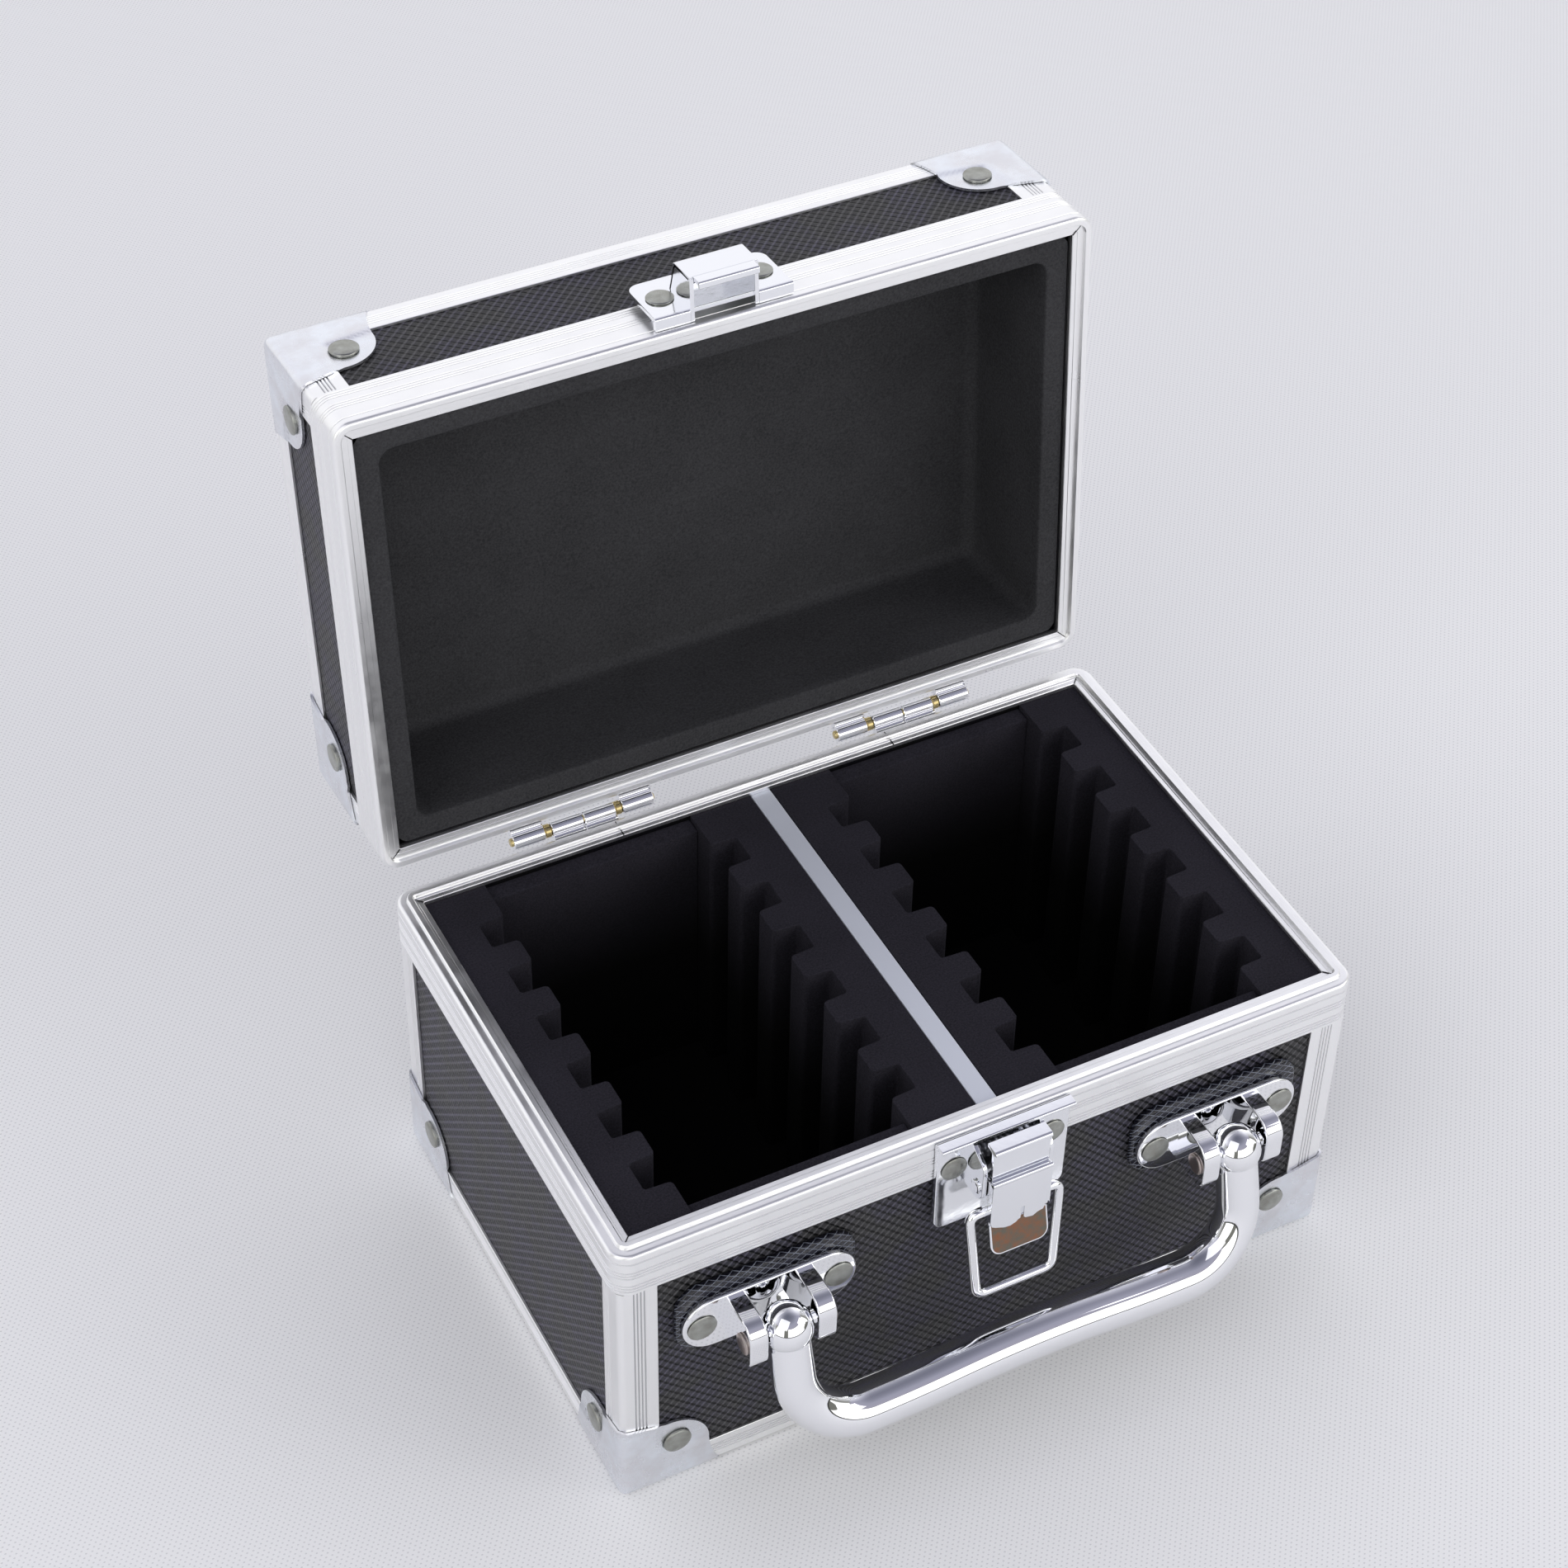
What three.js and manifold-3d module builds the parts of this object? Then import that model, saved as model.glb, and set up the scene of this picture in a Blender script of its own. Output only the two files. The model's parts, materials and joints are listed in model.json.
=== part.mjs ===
// Coin storage case: a small aluminium-framed case for slabbed coins, two rows of six slots.
// Millimetres, +Z up. The front, with the latch and the handle, faces -Y. The case stands on
// Z = 0 with the base centred on X and Y, and the lid stands open on its stop.
import * as THREE from "three";
import { mergeVertices } from "three/addons/utils/BufferGeometryUtils.js";
import Module from "manifold-3d";

const wasm = await Module();
wasm.setup();

// Outside of the case
const CASE_WIDTH = 180;
const CASE_DEPTH = 118.4;
const BASE_HEIGHT = 80.5;
const LID_HEIGHT = 41;
const RIM_GAP = 0.5;
const OPEN_ANGLE = 94.5;
const FIT = 0.1;
const RUNNING_GAP = 0.2;

// Walls and aluminium angles
const PANEL_THICKNESS = 3.5;
const ANGLE_THICKNESS = 0.6;
const RIM_PROUD = 0.8;
const POST_LEG_FRONT = 9;
const POST_LEG_SIDE = 7.8;
const ANGLE_ROUND = 1.4;
const FRAME_FACE = 6.9;
const FRAME_UNDER = 9;

// Closure rims
const BASE_BAND = 12;
const LID_BAND = 13.4;
const RIM_CORNER = 4.6;
const RIM_INNER_BEND = 0.3;
const RIM_EDGE_ROUND = 0.8;
const RIM_LIP_THICKNESS = 1.2;
const BASE_LIP_REACH = 5.6;
const LID_LIP_REACH = 4.7;
const TONGUE_START = 2.1;
const TONGUE_WIDTH = 1.8;
const TONGUE_HEIGHT = 0.9;
const TONGUE_DRAFT = 0.15;

// Fine grooves along the extrusions
const GROOVE_DEPTH = 0.22;
const GROOVE_WIDTH = 0.5;
const GROOVE_PITCH = 1.5;
const BAND_GROOVES = 5;
const POST_GROOVES = 3;
const FRAME_GROOVES = 2;
const GROOVE_START = 3.4;

// Corner brackets
const BRACKET_THICKNESS = 0.6;
const BRACKET_LENGTH = 24;
const BRACKET_CORNER_HEIGHT = 22.7;
const BRACKET_SHOULDER = 7.5;
const BRACKET_SHOULDER_HEIGHT = 20.8;
const LOBE_FROM_CORNER = 11.6;
const LOBE_HEIGHT = 9.8;
const LOBE_RADIUS = 9.9;
const LOBE_START_ANGLE = -8;
const LOBE_END_ANGLE = 92;
const BRACKET_RIVET_FROM_CORNER = 13.7;
const BRACKET_RIVET_HEIGHT = 13.2;
const BRACKET_EDGE_ROUND = 2;
const BRACKET_FOOT_ROUND = 1.2;

// Rivets
const BRACKET_RIVET_RADIUS = 3.2;
const FITTING_RIVET_RADIUS = 3.1;
const HINGE_RIVET_RADIUS = 1.9;
const RIVET_RISE = 0.6;

// Foam fit-out
const FLOOR_PAD_THICKNESS = 2;
const DIVIDER_THICKNESS = 3.6;
const CAP_THICKNESS = 0.6;
const CAP_LEG = 5;
const FOAM_BELOW_RIM = 1.4;
const SLOT_SPAN = 64;
const SLOT_WIDTH = 8.2;
const SLOT_PITCH = 15.6;
const SLOTS_PER_ROW = 6;
const TOOTH_LENGTH = 6.3;
const TOOTH_TIP_ROUND = 0.7;
const END_PAD_THICKNESS = 4.5;
const END_PAD_BELOW_STRIPS = 1.2;
const LINING_THICKNESS = 1.8;
const LINING_BELOW_RIM = 4;

// Carrying handle and its brackets, placed from the sides and the rim
const HANDLE_FROM_SIDE = 34.6;
const HANDLE_BELOW_RIM = 28.2;
const HANDLE_PAD_THICKNESS = 1.9;
const HANDLE_PAD_LENGTH = 42.4;
const HANDLE_PAD_HEIGHT = 19.6;
const HANDLE_PAD_ROUND = 6;
const HANDLE_PAD_LIFT = 0.9;
const HANDLE_PLATE_LENGTH = 41;
const HANDLE_PLATE_HEIGHT = 14.7;
const HANDLE_PLATE_THICKNESS = 1.6;
const HANDLE_RIVET_SPACING = 32.2;
const LUG_REACH = 10.9;
const LUG_HEIGHT = 12.4;
const LUG_WIDTH = 4.3;
const LUG_ROUND = 4.6;
const LUG_GAP = 11.8;
const HANDLE_PIN_RADIUS = 1.6;
const HANDLE_PIN_REACH = 7.6;
const HANDLE_PIN_HEAD_RADIUS = 2.5;
const HANDLE_PIN_HEAD_THICKNESS = 0.7;
const HANDLE_BALL_RADIUS = 5.75;
const HANDLE_LEG_RADIUS = 4.8;
const HANDLE_GRIP_RADIUS = 5.7;
const HANDLE_DROP = 28.7;
const HANDLE_BEND_RADIUS = 15.7;
const HANDLE_GRIP_RISE = 1.3;
const HANDLE_LEAN = 15;

// Latch on the base
const LATCH_PLATE_TOP_WIDTH = 32.4;
const LATCH_PLATE_FOOT_WIDTH = 32;
const LATCH_PLATE_HEIGHT = 27.3;
const LATCH_PLATE_ROUND = 2.6;
const LATCH_PLATE_THICKNESS = 1.2;
const LATCH_FLANGE_REACH = 2.3;
const LATCH_FLANGE_THICKNESS = 1;
const LATCH_TOP_BELOW_RIM = 0.1;
const LATCH_RIVET_SPACING = 23.8;
const LATCH_RIVET_BELOW_RIM = 9.2;
const CHEEK_THICKNESS = 1.1;
const CHEEK_REACH = 6.6;
const CHEEK_TOP_BELOW_RIM = 5;
const CHEEK_HEIGHT = 11;
const LEVER_WIDTH = 14.6;
const NOSE_WIDTH = 13.8;
const LEVER_SHEET = 1;
const LEVER_PIVOT_BELOW_RIM = 12;
const LEVER_PIVOT_OUT = 5.6;
const LEVER_WEB_OUT = 9.2;
const LEVER_WEB_WALL = 1;
const LATCH_PIN_RADIUS = 1.1;
const LATCH_PIN_HEAD_RADIUS = 1.7;
const LATCH_PIN_HEAD_THICKNESS = 0.5;
const COVER_THICKNESS = 0.9;
const COVER_TOP_BELOW_RIM = 8.4;
const COVER_FOOT_BELOW_RIM = 23.7;
const NOSE_ABOVE_RIM = 1;
const NOSE_THICKNESS = 1.1;
const NOSE_DEPTH = 2.9;
const HOOK_BITE = 0.8;
const TONGUE_TAB_DROP = 30.2;
const TONGUE_TAB_OUT = 11.4;
const TONGUE_TAB_WIDTH = 14.2;
const COVER_SLIT_WIDTH = 0.9;
const COVER_SLIT_HEIGHT = 3.4;
const SPRING_TURNS = 8;
const SPRING_WIRE_RADIUS = 0.28;
const SPRING_COIL_RADIUS = 1.75;

// Pull ring of the latch
const RING_WIRE_RADIUS = 1.15;
const RING_PIVOT_BELOW_RIM = 18.9;
const RING_PIVOT_OUT = 7.5;
const RING_TOP_HALF_WIDTH = 11.1;
const RING_FOOT_HALF_WIDTH = 9.4;
const RING_LENGTH = 24.2;
const RING_LEAN = 6;
const RING_BEND = 2.4;

// Keeper on the lid
const CATCH_WIDTH = 32.6;
const CATCH_HEIGHT = 15.3;
const CATCH_ROUND = 2.8;
const CATCH_THICKNESS = 1.2;
const CATCH_STAND_OFF = 1.9;
const CATCH_ABOVE_RIM = 1.4;
const CATCH_RIVET_SPACING = 23.5;
const CATCH_RIVET_HEIGHT = 7.5;
const CATCH_RIVET_BARREL_RADIUS = 2.2;
const CATCH_BOX_WALL = 1;
const CATCH_BOX_HEIGHT = 8.2;
const CATCH_BOX_SLOPE = 3.4;
const CATCH_LIP_LAP = 1.5;
const CATCH_LIP_HEIGHT = 0.5;

// Hinges
const HINGE_SPACING = 83.2;
const HINGE_LENGTH = 35;
const HINGE_AXIS_BEHIND = 2.9;
const HINGE_LEAF_THICKNESS = 0.9;
const HINGE_LEAF_HEIGHT = 13.5;
const HINGE_RIVET_SPACING = 22;
const HINGE_RIVET_DROP = 8.4;
const KNUCKLE_RADIUS = 1.85;
const KNUCKLE_GAP = 1.8;
const KNUCKLE_SEAM = 0.3;
const KNUCKLE_CLEARANCE = 0.35;
const HINGE_PIN_RADIUS = 1;
const HINGE_COLLAR_RADIUS = 1.6;
const HINGE_PIN_HEAD = 0.5;

// Fineness of the round faces
const ROD_SIDES = 12;
const WIRE_SIDES = 8;
const CORNER_STEPS = 4;
const RIVET_SIDES = 12;
const WELD = 1e-4;
const DEGREE = Math.PI / 180;
const HANDLE_STEPS = [3, 9, 10];
const QUARTER_TURN_PULL = 0.5523;

// Levels and layers worked out from the sizes above. A depth is measured inwards from the
// outer face of the closure rims, and a reach outwards from it.
const ANGLE_DEPTH = RIM_PROUD;
const PANEL_DEPTH = ANGLE_DEPTH + ANGLE_THICKNESS + FIT;
const INNER_DEPTH = PANEL_DEPTH + PANEL_THICKNESS;
const BRACKET_DEPTH = ANGLE_DEPTH - FIT - BRACKET_THICKNESS;
const FRAME_LEVEL = BRACKET_THICKNESS + FIT;
const PANEL_LEVEL = FRAME_LEVEL + ANGLE_THICKNESS + FIT;
const FLOOR_LEVEL = PANEL_LEVEL + PANEL_THICKNESS;
const FRONT_Y = -CASE_DEPTH / 2;
const BACK_Y = CASE_DEPTH / 2;
const HALF_WIDTH = CASE_WIDTH / 2;
const HANDLE_SPACING = CASE_WIDTH - 2 * HANDLE_FROM_SIDE;
const HANDLE_HEIGHT = BASE_HEIGHT - HANDLE_BELOW_RIM;
const HALF_DEPTH = CASE_DEPTH / 2;
const LID_TOP = BASE_HEIGHT + RIM_GAP + LID_HEIGHT;
const LID_RIM = BASE_HEIGHT + RIM_GAP;
const HINGE_Y = BACK_Y + HINGE_AXIS_BEHIND;
const HINGE_Z = BASE_HEIGHT + RIM_GAP / 2;

const aluminium = new THREE.MeshStandardMaterial({ color: 0xd8dadc, roughness: 0.35, metalness: 0.9 });
const zinc = new THREE.MeshStandardMaterial({ color: 0xc3c8cf, roughness: 0.3, metalness: 0.95 });
const chrome = new THREE.MeshStandardMaterial({ color: 0xdfe3e8, roughness: 0.08, metalness: 1 });
const brass = new THREE.MeshStandardMaterial({ color: 0xb59a55, roughness: 0.3, metalness: 1 });
const laminate = new THREE.MeshStandardMaterial({ color: 0x23232b, roughness: 0.45, metalness: 0 });
const foam = new THREE.MeshStandardMaterial({ color: 0x1d1d20, roughness: 0.95, metalness: 0 });
const lining = new THREE.MeshStandardMaterial({ color: 0x18181b, roughness: 1, metalness: 0 });

function named(name, geometry, material) {
  const mesh = new THREE.Mesh(geometry, material);
  mesh.name = name;
  return mesh;
}

// Joining and cutting

function solidOf(geometry) {
  const bare = geometry.clone();
  bare.deleteAttribute("normal");
  bare.deleteAttribute("uv");
  const merged = mergeVertices(bare, WELD);
  const mesh = new wasm.Mesh({
    numProp: 3,
    vertProperties: merged.getAttribute("position").array,
    triVerts: new Uint32Array(merged.index.array),
  });
  return new wasm.Manifold(mesh);
}

function geometryOf(solid) {
  const mesh = solid.getMesh();
  const geometry = new THREE.BufferGeometry();
  geometry.setAttribute("position", new THREE.BufferAttribute(mesh.vertProperties, 3));
  geometry.setIndex(new THREE.BufferAttribute(mesh.triVerts, 1));
  geometry.computeVertexNormals();
  return geometry;
}

function joined(...geometries) {
  return geometries.map(solidOf).reduce((whole, piece) => whole.add(piece));
}

function cutBy(solid, ...geometries) {
  return geometries.map(solidOf).reduce((whole, tool) => whole.subtract(tool), solid);
}

// Plain forms

function block(x0, x1, y0, y1, z0, z1) {
  const geometry = new THREE.BoxGeometry(x1 - x0, y1 - y0, z1 - z0);
  geometry.translate((x0 + x1) / 2, (y0 + y1) / 2, (z0 + z1) / 2);
  return geometry;
}

const AXIS_X = new THREE.Vector3(1, 0, 0);
const AXIS_Y = new THREE.Vector3(0, 1, 0);
const AXIS_Z = new THREE.Vector3(0, 0, 1);

// A shape drawn in Y and Z, extruded from x0 to x1.
function prismAlongX(shape, x0, x1, curveSegments = CORNER_STEPS) {
  const geometry = new THREE.ExtrudeGeometry(shape, { depth: x1 - x0, bevelEnabled: false, curveSegments });
  geometry.applyMatrix4(new THREE.Matrix4().makeBasis(AXIS_Y, AXIS_Z, AXIS_X));
  geometry.translate(x0, 0, 0);
  return geometry;
}

// A shape drawn in X and Z, extruded from y0 to y1.
function prismAlongY(shape, y0, y1, curveSegments = CORNER_STEPS) {
  const geometry = new THREE.ExtrudeGeometry(shape, { depth: y1 - y0, bevelEnabled: false, curveSegments });
  geometry.applyMatrix4(new THREE.Matrix4().makeBasis(AXIS_X, AXIS_Z, AXIS_Y.clone().negate()));
  geometry.translate(0, y1, 0);
  return geometry;
}

// A shape drawn in X and Y, extruded from z0 to z1.
function prismAlongZ(shape, z0, z1, curveSegments = CORNER_STEPS) {
  const geometry = new THREE.ExtrudeGeometry(shape, { depth: z1 - z0, bevelEnabled: false, curveSegments });
  geometry.translate(0, 0, z0);
  return geometry;
}

function rodAlongX(radius, x0, x1, y, z, sides = ROD_SIDES) {
  const geometry = new THREE.CylinderGeometry(radius, radius, x1 - x0, sides);
  geometry.rotateZ(-Math.PI / 2);
  geometry.translate((x0 + x1) / 2, y, z);
  return geometry;
}

// A rivet head that stands on the origin and points along +Y.
function rivetHead(radius) {
  const profile = [
    [0, -FIT],
    [radius, -FIT],
    [radius, RIVET_RISE * 0.45],
    [radius * 0.72, RIVET_RISE * 0.85],
    [0, RIVET_RISE],
  ];
  return new THREE.LatheGeometry(profile.map(([r, h]) => new THREE.Vector2(r, h)), RIVET_SIDES);
}

function rivetFacingFront(radius, x, y, z) {
  return rivetHead(radius).rotateX(Math.PI).translate(x, y, z);
}

function rivetFacingBack(radius, x, y, z) {
  return rivetHead(radius).translate(x, y, z);
}

function rivetFacingLeft(radius, x, y, z) {
  return rivetHead(radius).rotateZ(Math.PI / 2).translate(x, y, z);
}

function polygon(points) {
  return new THREE.Shape(points.map(([a, b]) => new THREE.Vector2(a, b)));
}

// A bar with round ends, centred on the origin.
function stadium(length, height) {
  const radius = height / 2;
  const reach = length / 2 - radius;
  const shape = new THREE.Shape();
  shape.absarc(reach, 0, radius, -Math.PI / 2, Math.PI / 2);
  shape.absarc(-reach, 0, radius, Math.PI / 2, Math.PI * 1.5);
  return shape;
}

// Rings of points with the same count, one above the other, closed at both ends.
function loft(rings) {
  const count = rings[0].length;
  const positions = rings.flat().flatMap((p) => [p.x, p.y, p.z]);
  const index = [];
  for (let r = 0; r + 1 < rings.length; r++) {
    for (let i = 0; i < count; i++) {
      const here = r * count + i;
      const next = r * count + ((i + 1) % count);
      index.push(here, next, next + count, here, next + count, here + count);
    }
  }
  const top = (rings.length - 1) * count;
  for (let i = 1; i + 1 < count; i++) {
    index.push(0, i + 1, i);
    index.push(top, top + i, top + i + 1);
  }
  const geometry = new THREE.BufferGeometry();
  geometry.setAttribute("position", new THREE.Float32BufferAttribute(positions, 3));
  geometry.setIndex(index);
  return geometry;
}

// A profile of depth and height carried round a rectangle. A radius of 0 gives mitred corners,
// and the part of a profile that lies deeper than the radius turns on the small inner bend.
function loopAround(outline, halfX, halfY, radius) {
  const profile = THREE.ShapeUtils.area(outline) > 0 ? [...outline].reverse() : outline;
  const stations = [];
  const corners = [[1, 1], [-1, 1], [-1, -1], [1, -1]];
  const steps = radius === 0 ? 0 : CORNER_STEPS;
  corners.forEach(([sideX, sideY], corner) => {
    for (let step = 0; step <= steps; step++) {
      const angle = (corner + step / CORNER_STEPS) * 90 * DEGREE;
      stations.push({ sideX, sideY, angle });
    }
  });
  const positions = stations.flatMap(({ sideX, sideY, angle }) =>
    profile.flatMap((p) => {
      const bend = radius === 0 ? 0 : Math.max(radius - p.x, RIM_INNER_BEND);
      const x = sideX * (halfX - p.x - bend) + bend * Math.cos(angle);
      const y = sideY * (halfY - p.x - bend) + bend * Math.sin(angle);
      return [x, y, p.y];
    }),
  );
  const count = profile.length;
  const index = [];
  for (let s = 0; s < stations.length; s++) {
    const nextStation = ((s + 1) % stations.length) * count;
    for (let i = 0; i < count; i++) {
      const j = (i + 1) % count;
      index.push(s * count + i, nextStation + i, nextStation + j);
      index.push(s * count + i, nextStation + j, s * count + j);
    }
  }
  const geometry = new THREE.BufferGeometry();
  geometry.setAttribute("position", new THREE.Float32BufferAttribute(positions, 3));
  geometry.setIndex(index);
  return geometry;
}

// Fine grooves

// Adds V grooves to a shape whose outline runs along a straight face, from "start" in steps of
// the pitch. The place function gives the outline point for a distance along and a depth.
function addGrooves(shape, count, start, step, place) {
  for (let i = 0; i < count; i++) {
    const along = start + i * step;
    const half = (Math.sign(step) * GROOVE_WIDTH) / 2;
    shape.lineTo(...place(along - half, 0));
    shape.lineTo(...place(along, GROOVE_DEPTH));
    shape.lineTo(...place(along + half, 0));
  }
}

// Closure rims

// The part of both rim profiles that they share: the ribbed outer band up to the round edge.
// Heights are measured from the closed end of the shell, and "top" is the closure face.
function startRimProfile(top, band) {
  const shape = new THREE.Shape();
  shape.moveTo(0, top - band);
  addGrooves(shape, BAND_GROOVES, top - band + GROOVE_START, GROOVE_PITCH, (z, depth) => [depth, z]);
  shape.lineTo(0, top - RIM_EDGE_ROUND);
  shape.absarc(RIM_EDGE_ROUND, top - RIM_EDGE_ROUND, RIM_EDGE_ROUND, Math.PI, Math.PI / 2, true);
  return shape;
}

function finishRimProfile(shape, top, band, lipReach, lipTop) {
  const channel = PANEL_DEPTH - FIT;
  shape.lineTo(lipReach, lipTop);
  shape.lineTo(lipReach, lipTop - RIM_LIP_THICKNESS);
  shape.lineTo(channel, lipTop - RIM_LIP_THICKNESS);
  shape.lineTo(channel, top - band);
  return shape.getPoints(CORNER_STEPS);
}

function baseRimProfile(top) {
  const shape = startRimProfile(top, BASE_BAND);
  const tongueEnd = TONGUE_START + TONGUE_WIDTH;
  shape.lineTo(TONGUE_START, top);
  shape.lineTo(TONGUE_START + TONGUE_DRAFT, top + TONGUE_HEIGHT);
  shape.lineTo(tongueEnd - TONGUE_DRAFT, top + TONGUE_HEIGHT);
  shape.lineTo(tongueEnd, top);
  return finishRimProfile(shape, top, BASE_BAND, BASE_LIP_REACH, top);
}

function lidRimProfile(top) {
  const shape = startRimProfile(top, LID_BAND);
  const grooveFloor = top - TONGUE_HEIGHT - RUNNING_GAP + RIM_GAP / 2;
  shape.lineTo(TONGUE_START - RUNNING_GAP, top);
  shape.lineTo(TONGUE_START - RUNNING_GAP + TONGUE_DRAFT, grooveFloor);
  return finishRimProfile(shape, top, LID_BAND, LID_LIP_REACH, grooveFloor);
}

// Shell pieces, drawn with the closed end of the shell on Z = 0

function lipUnderside(name, height) {
  if (name === "base") return height - RIM_LIP_THICKNESS;
  return height - TONGUE_HEIGHT - RUNNING_GAP + RIM_GAP / 2 - RIM_LIP_THICKNESS;
}

// A panel across the full width, whose outer corners follow the round corners of the rim.
function roundEndedPanel(halfX, inner, outer) {
  const round = RIM_CORNER - PANEL_DEPTH;
  const side = Math.sign(outer);
  const points = [[-halfX, inner], [halfX, inner]];
  for (let step = 0; step <= CORNER_STEPS; step++) {
    const angle = (step / CORNER_STEPS) * 90 * DEGREE;
    points.push([halfX - round * (1 - Math.cos(angle)), outer - side * round * (1 - Math.sin(angle))]);
  }
  for (let step = CORNER_STEPS; step >= 0; step--) {
    const angle = (step / CORNER_STEPS) * 90 * DEGREE;
    points.push([round * (1 - Math.cos(angle)) - halfX, outer - side * round * (1 - Math.sin(angle))]);
  }
  return polygon(points);
}

function shellPanels(name, height) {
  const x = HALF_WIDTH - PANEL_DEPTH;
  const y = HALF_DEPTH - PANEL_DEPTH;
  const innerX = HALF_WIDTH - INNER_DEPTH;
  const innerY = HALF_DEPTH - INNER_DEPTH;
  const top = lipUnderside(name, height) - FIT;
  const closedEnd = name === "base" ? "bottom" : "top";
  return [
    [`${name}_front_panel`, prismAlongZ(roundEndedPanel(x, -innerY, -y), PANEL_LEVEL, top)],
    [`${name}_back_panel`, prismAlongZ(roundEndedPanel(x, innerY, y), PANEL_LEVEL, top)],
    [`${name}_left_panel`, block(-x, -innerX, -innerY + FIT, innerY - FIT, PANEL_LEVEL, top)],
    [`${name}_right_panel`, block(innerX, x, -innerY + FIT, innerY - FIT, PANEL_LEVEL, top)],
    [
      `${name}_${closedEnd}_panel`,
      block(-innerX + FIT, innerX - FIT, -innerY + FIT, innerY - FIT, PANEL_LEVEL, FLOOR_LEVEL),
    ],
  ].map(([label, geometry]) => named(label, geometry, laminate));
}

// The angle along a vertical corner, drawn for the corner at the origin of +X and +Y.
function postShape() {
  const outer = 0;
  const inner = ANGLE_THICKNESS;
  const shape = new THREE.Shape();
  shape.moveTo(outer, POST_LEG_SIDE);
  addGrooves(shape, POST_GROOVES, POST_LEG_SIDE - GROOVE_PITCH, -GROOVE_PITCH, (y, depth) => [depth, y]);
  shape.lineTo(outer, ANGLE_ROUND);
  shape.absarc(ANGLE_ROUND, ANGLE_ROUND, ANGLE_ROUND, Math.PI, Math.PI * 1.5);
  addGrooves(shape, POST_GROOVES, GROOVE_START, GROOVE_PITCH, (x, depth) => [x, depth]);
  shape.lineTo(POST_LEG_FRONT, outer);
  shape.lineTo(POST_LEG_FRONT, inner);
  shape.lineTo(ANGLE_ROUND, inner);
  shape.absarc(ANGLE_ROUND, ANGLE_ROUND, ANGLE_ROUND - inner, Math.PI * 1.5, Math.PI, true);
  shape.lineTo(inner, POST_LEG_SIDE);
  return shape;
}

// The angle frame round the closed end, mitred at its corners.
function frameGeometry() {
  const outer = ANGLE_DEPTH;
  const top = FRAME_LEVEL + FRAME_FACE;
  const shape = new THREE.Shape();
  shape.moveTo(outer, FRAME_LEVEL);
  const grooveStart = top - GROOVE_PITCH * FRAME_GROOVES;
  addGrooves(shape, FRAME_GROOVES, grooveStart, GROOVE_PITCH, (z, depth) => [outer + depth, z]);
  shape.lineTo(outer, top);
  shape.lineTo(outer + ANGLE_THICKNESS, top);
  shape.lineTo(outer + ANGLE_THICKNESS, FRAME_LEVEL + ANGLE_THICKNESS);
  shape.lineTo(FRAME_UNDER, FRAME_LEVEL + ANGLE_THICKNESS);
  shape.lineTo(FRAME_UNDER, FRAME_LEVEL);
  const frame = solidOf(loopAround(shape.getPoints(), HALF_WIDTH, HALF_DEPTH, 0));
  return geometryOf(frame.intersect(solidOf(prismAlongZ(roundedPlan(outer, ANGLE_ROUND), 0, 2 * top, 2))));
}

// The case's outline in plan at a depth from the rim's outer face.
function roundedPlan(depth, radius) {
  return roundedRectangle(HALF_WIDTH - depth, HALF_DEPTH - depth, radius);
}

// A rectangle with round corners, from its half sides.
function roundedRectangle(x, y, radius) {
  const shape = new THREE.Shape();
  shape.absarc(x - radius, y - radius, radius, 0, 90 * DEGREE);
  shape.absarc(radius - x, y - radius, radius, 90 * DEGREE, 180 * DEGREE);
  shape.absarc(radius - x, radius - y, radius, 180 * DEGREE, 270 * DEGREE);
  shape.absarc(x - radius, radius - y, radius, 270 * DEGREE, 360 * DEGREE);
  return shape;
}

// Corner brackets

// One face of a bracket: along the wall from the corner, and up from the closed end.
function bracketFace() {
  const shape = new THREE.Shape();
  const start = LOBE_START_ANGLE * DEGREE;
  const end = LOBE_END_ANGLE * DEGREE;
  const lobeX = LOBE_FROM_CORNER + LOBE_RADIUS * Math.cos(start);
  const lobeZ = LOBE_HEIGHT + LOBE_RADIUS * Math.sin(start);
  shape.moveTo(0, 0);
  shape.lineTo(BRACKET_LENGTH, 0);
  shape.quadraticCurveTo(BRACKET_LENGTH - 1, lobeZ / 2, lobeX, lobeZ);
  shape.absarc(LOBE_FROM_CORNER, LOBE_HEIGHT, LOBE_RADIUS, start, end);
  shape.lineTo(BRACKET_SHOULDER, BRACKET_SHOULDER_HEIGHT);
  shape.lineTo(0, BRACKET_CORNER_HEIGHT);
  return shape;
}

function bracketUnderside() {
  const shape = new THREE.Shape();
  shape.moveTo(0, 0);
  shape.lineTo(BRACKET_LENGTH, 0);
  shape.quadraticCurveTo(BRACKET_LENGTH * 0.72, BRACKET_LENGTH * 0.72, 0, BRACKET_LENGTH);
  return shape;
}

// A block whose upright edge and foot edges are round, to bend the bracket's sheet.
function roundedCornerBlock() {
  const size = BRACKET_LENGTH + BRACKET_CORNER_HEIGHT;
  const rings = [];
  for (let level = 0; level <= CORNER_STEPS; level++) {
    const tilt = (level / CORNER_STEPS) * 90 * DEGREE;
    const inset = BRACKET_FOOT_ROUND * (1 - Math.sin(tilt));
    const z = BRACKET_FOOT_ROUND * (1 - Math.cos(tilt));
    rings.push(cornerRing(inset, z, size));
  }
  rings.push(cornerRing(0, size, size));
  return loft(rings);
}

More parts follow.
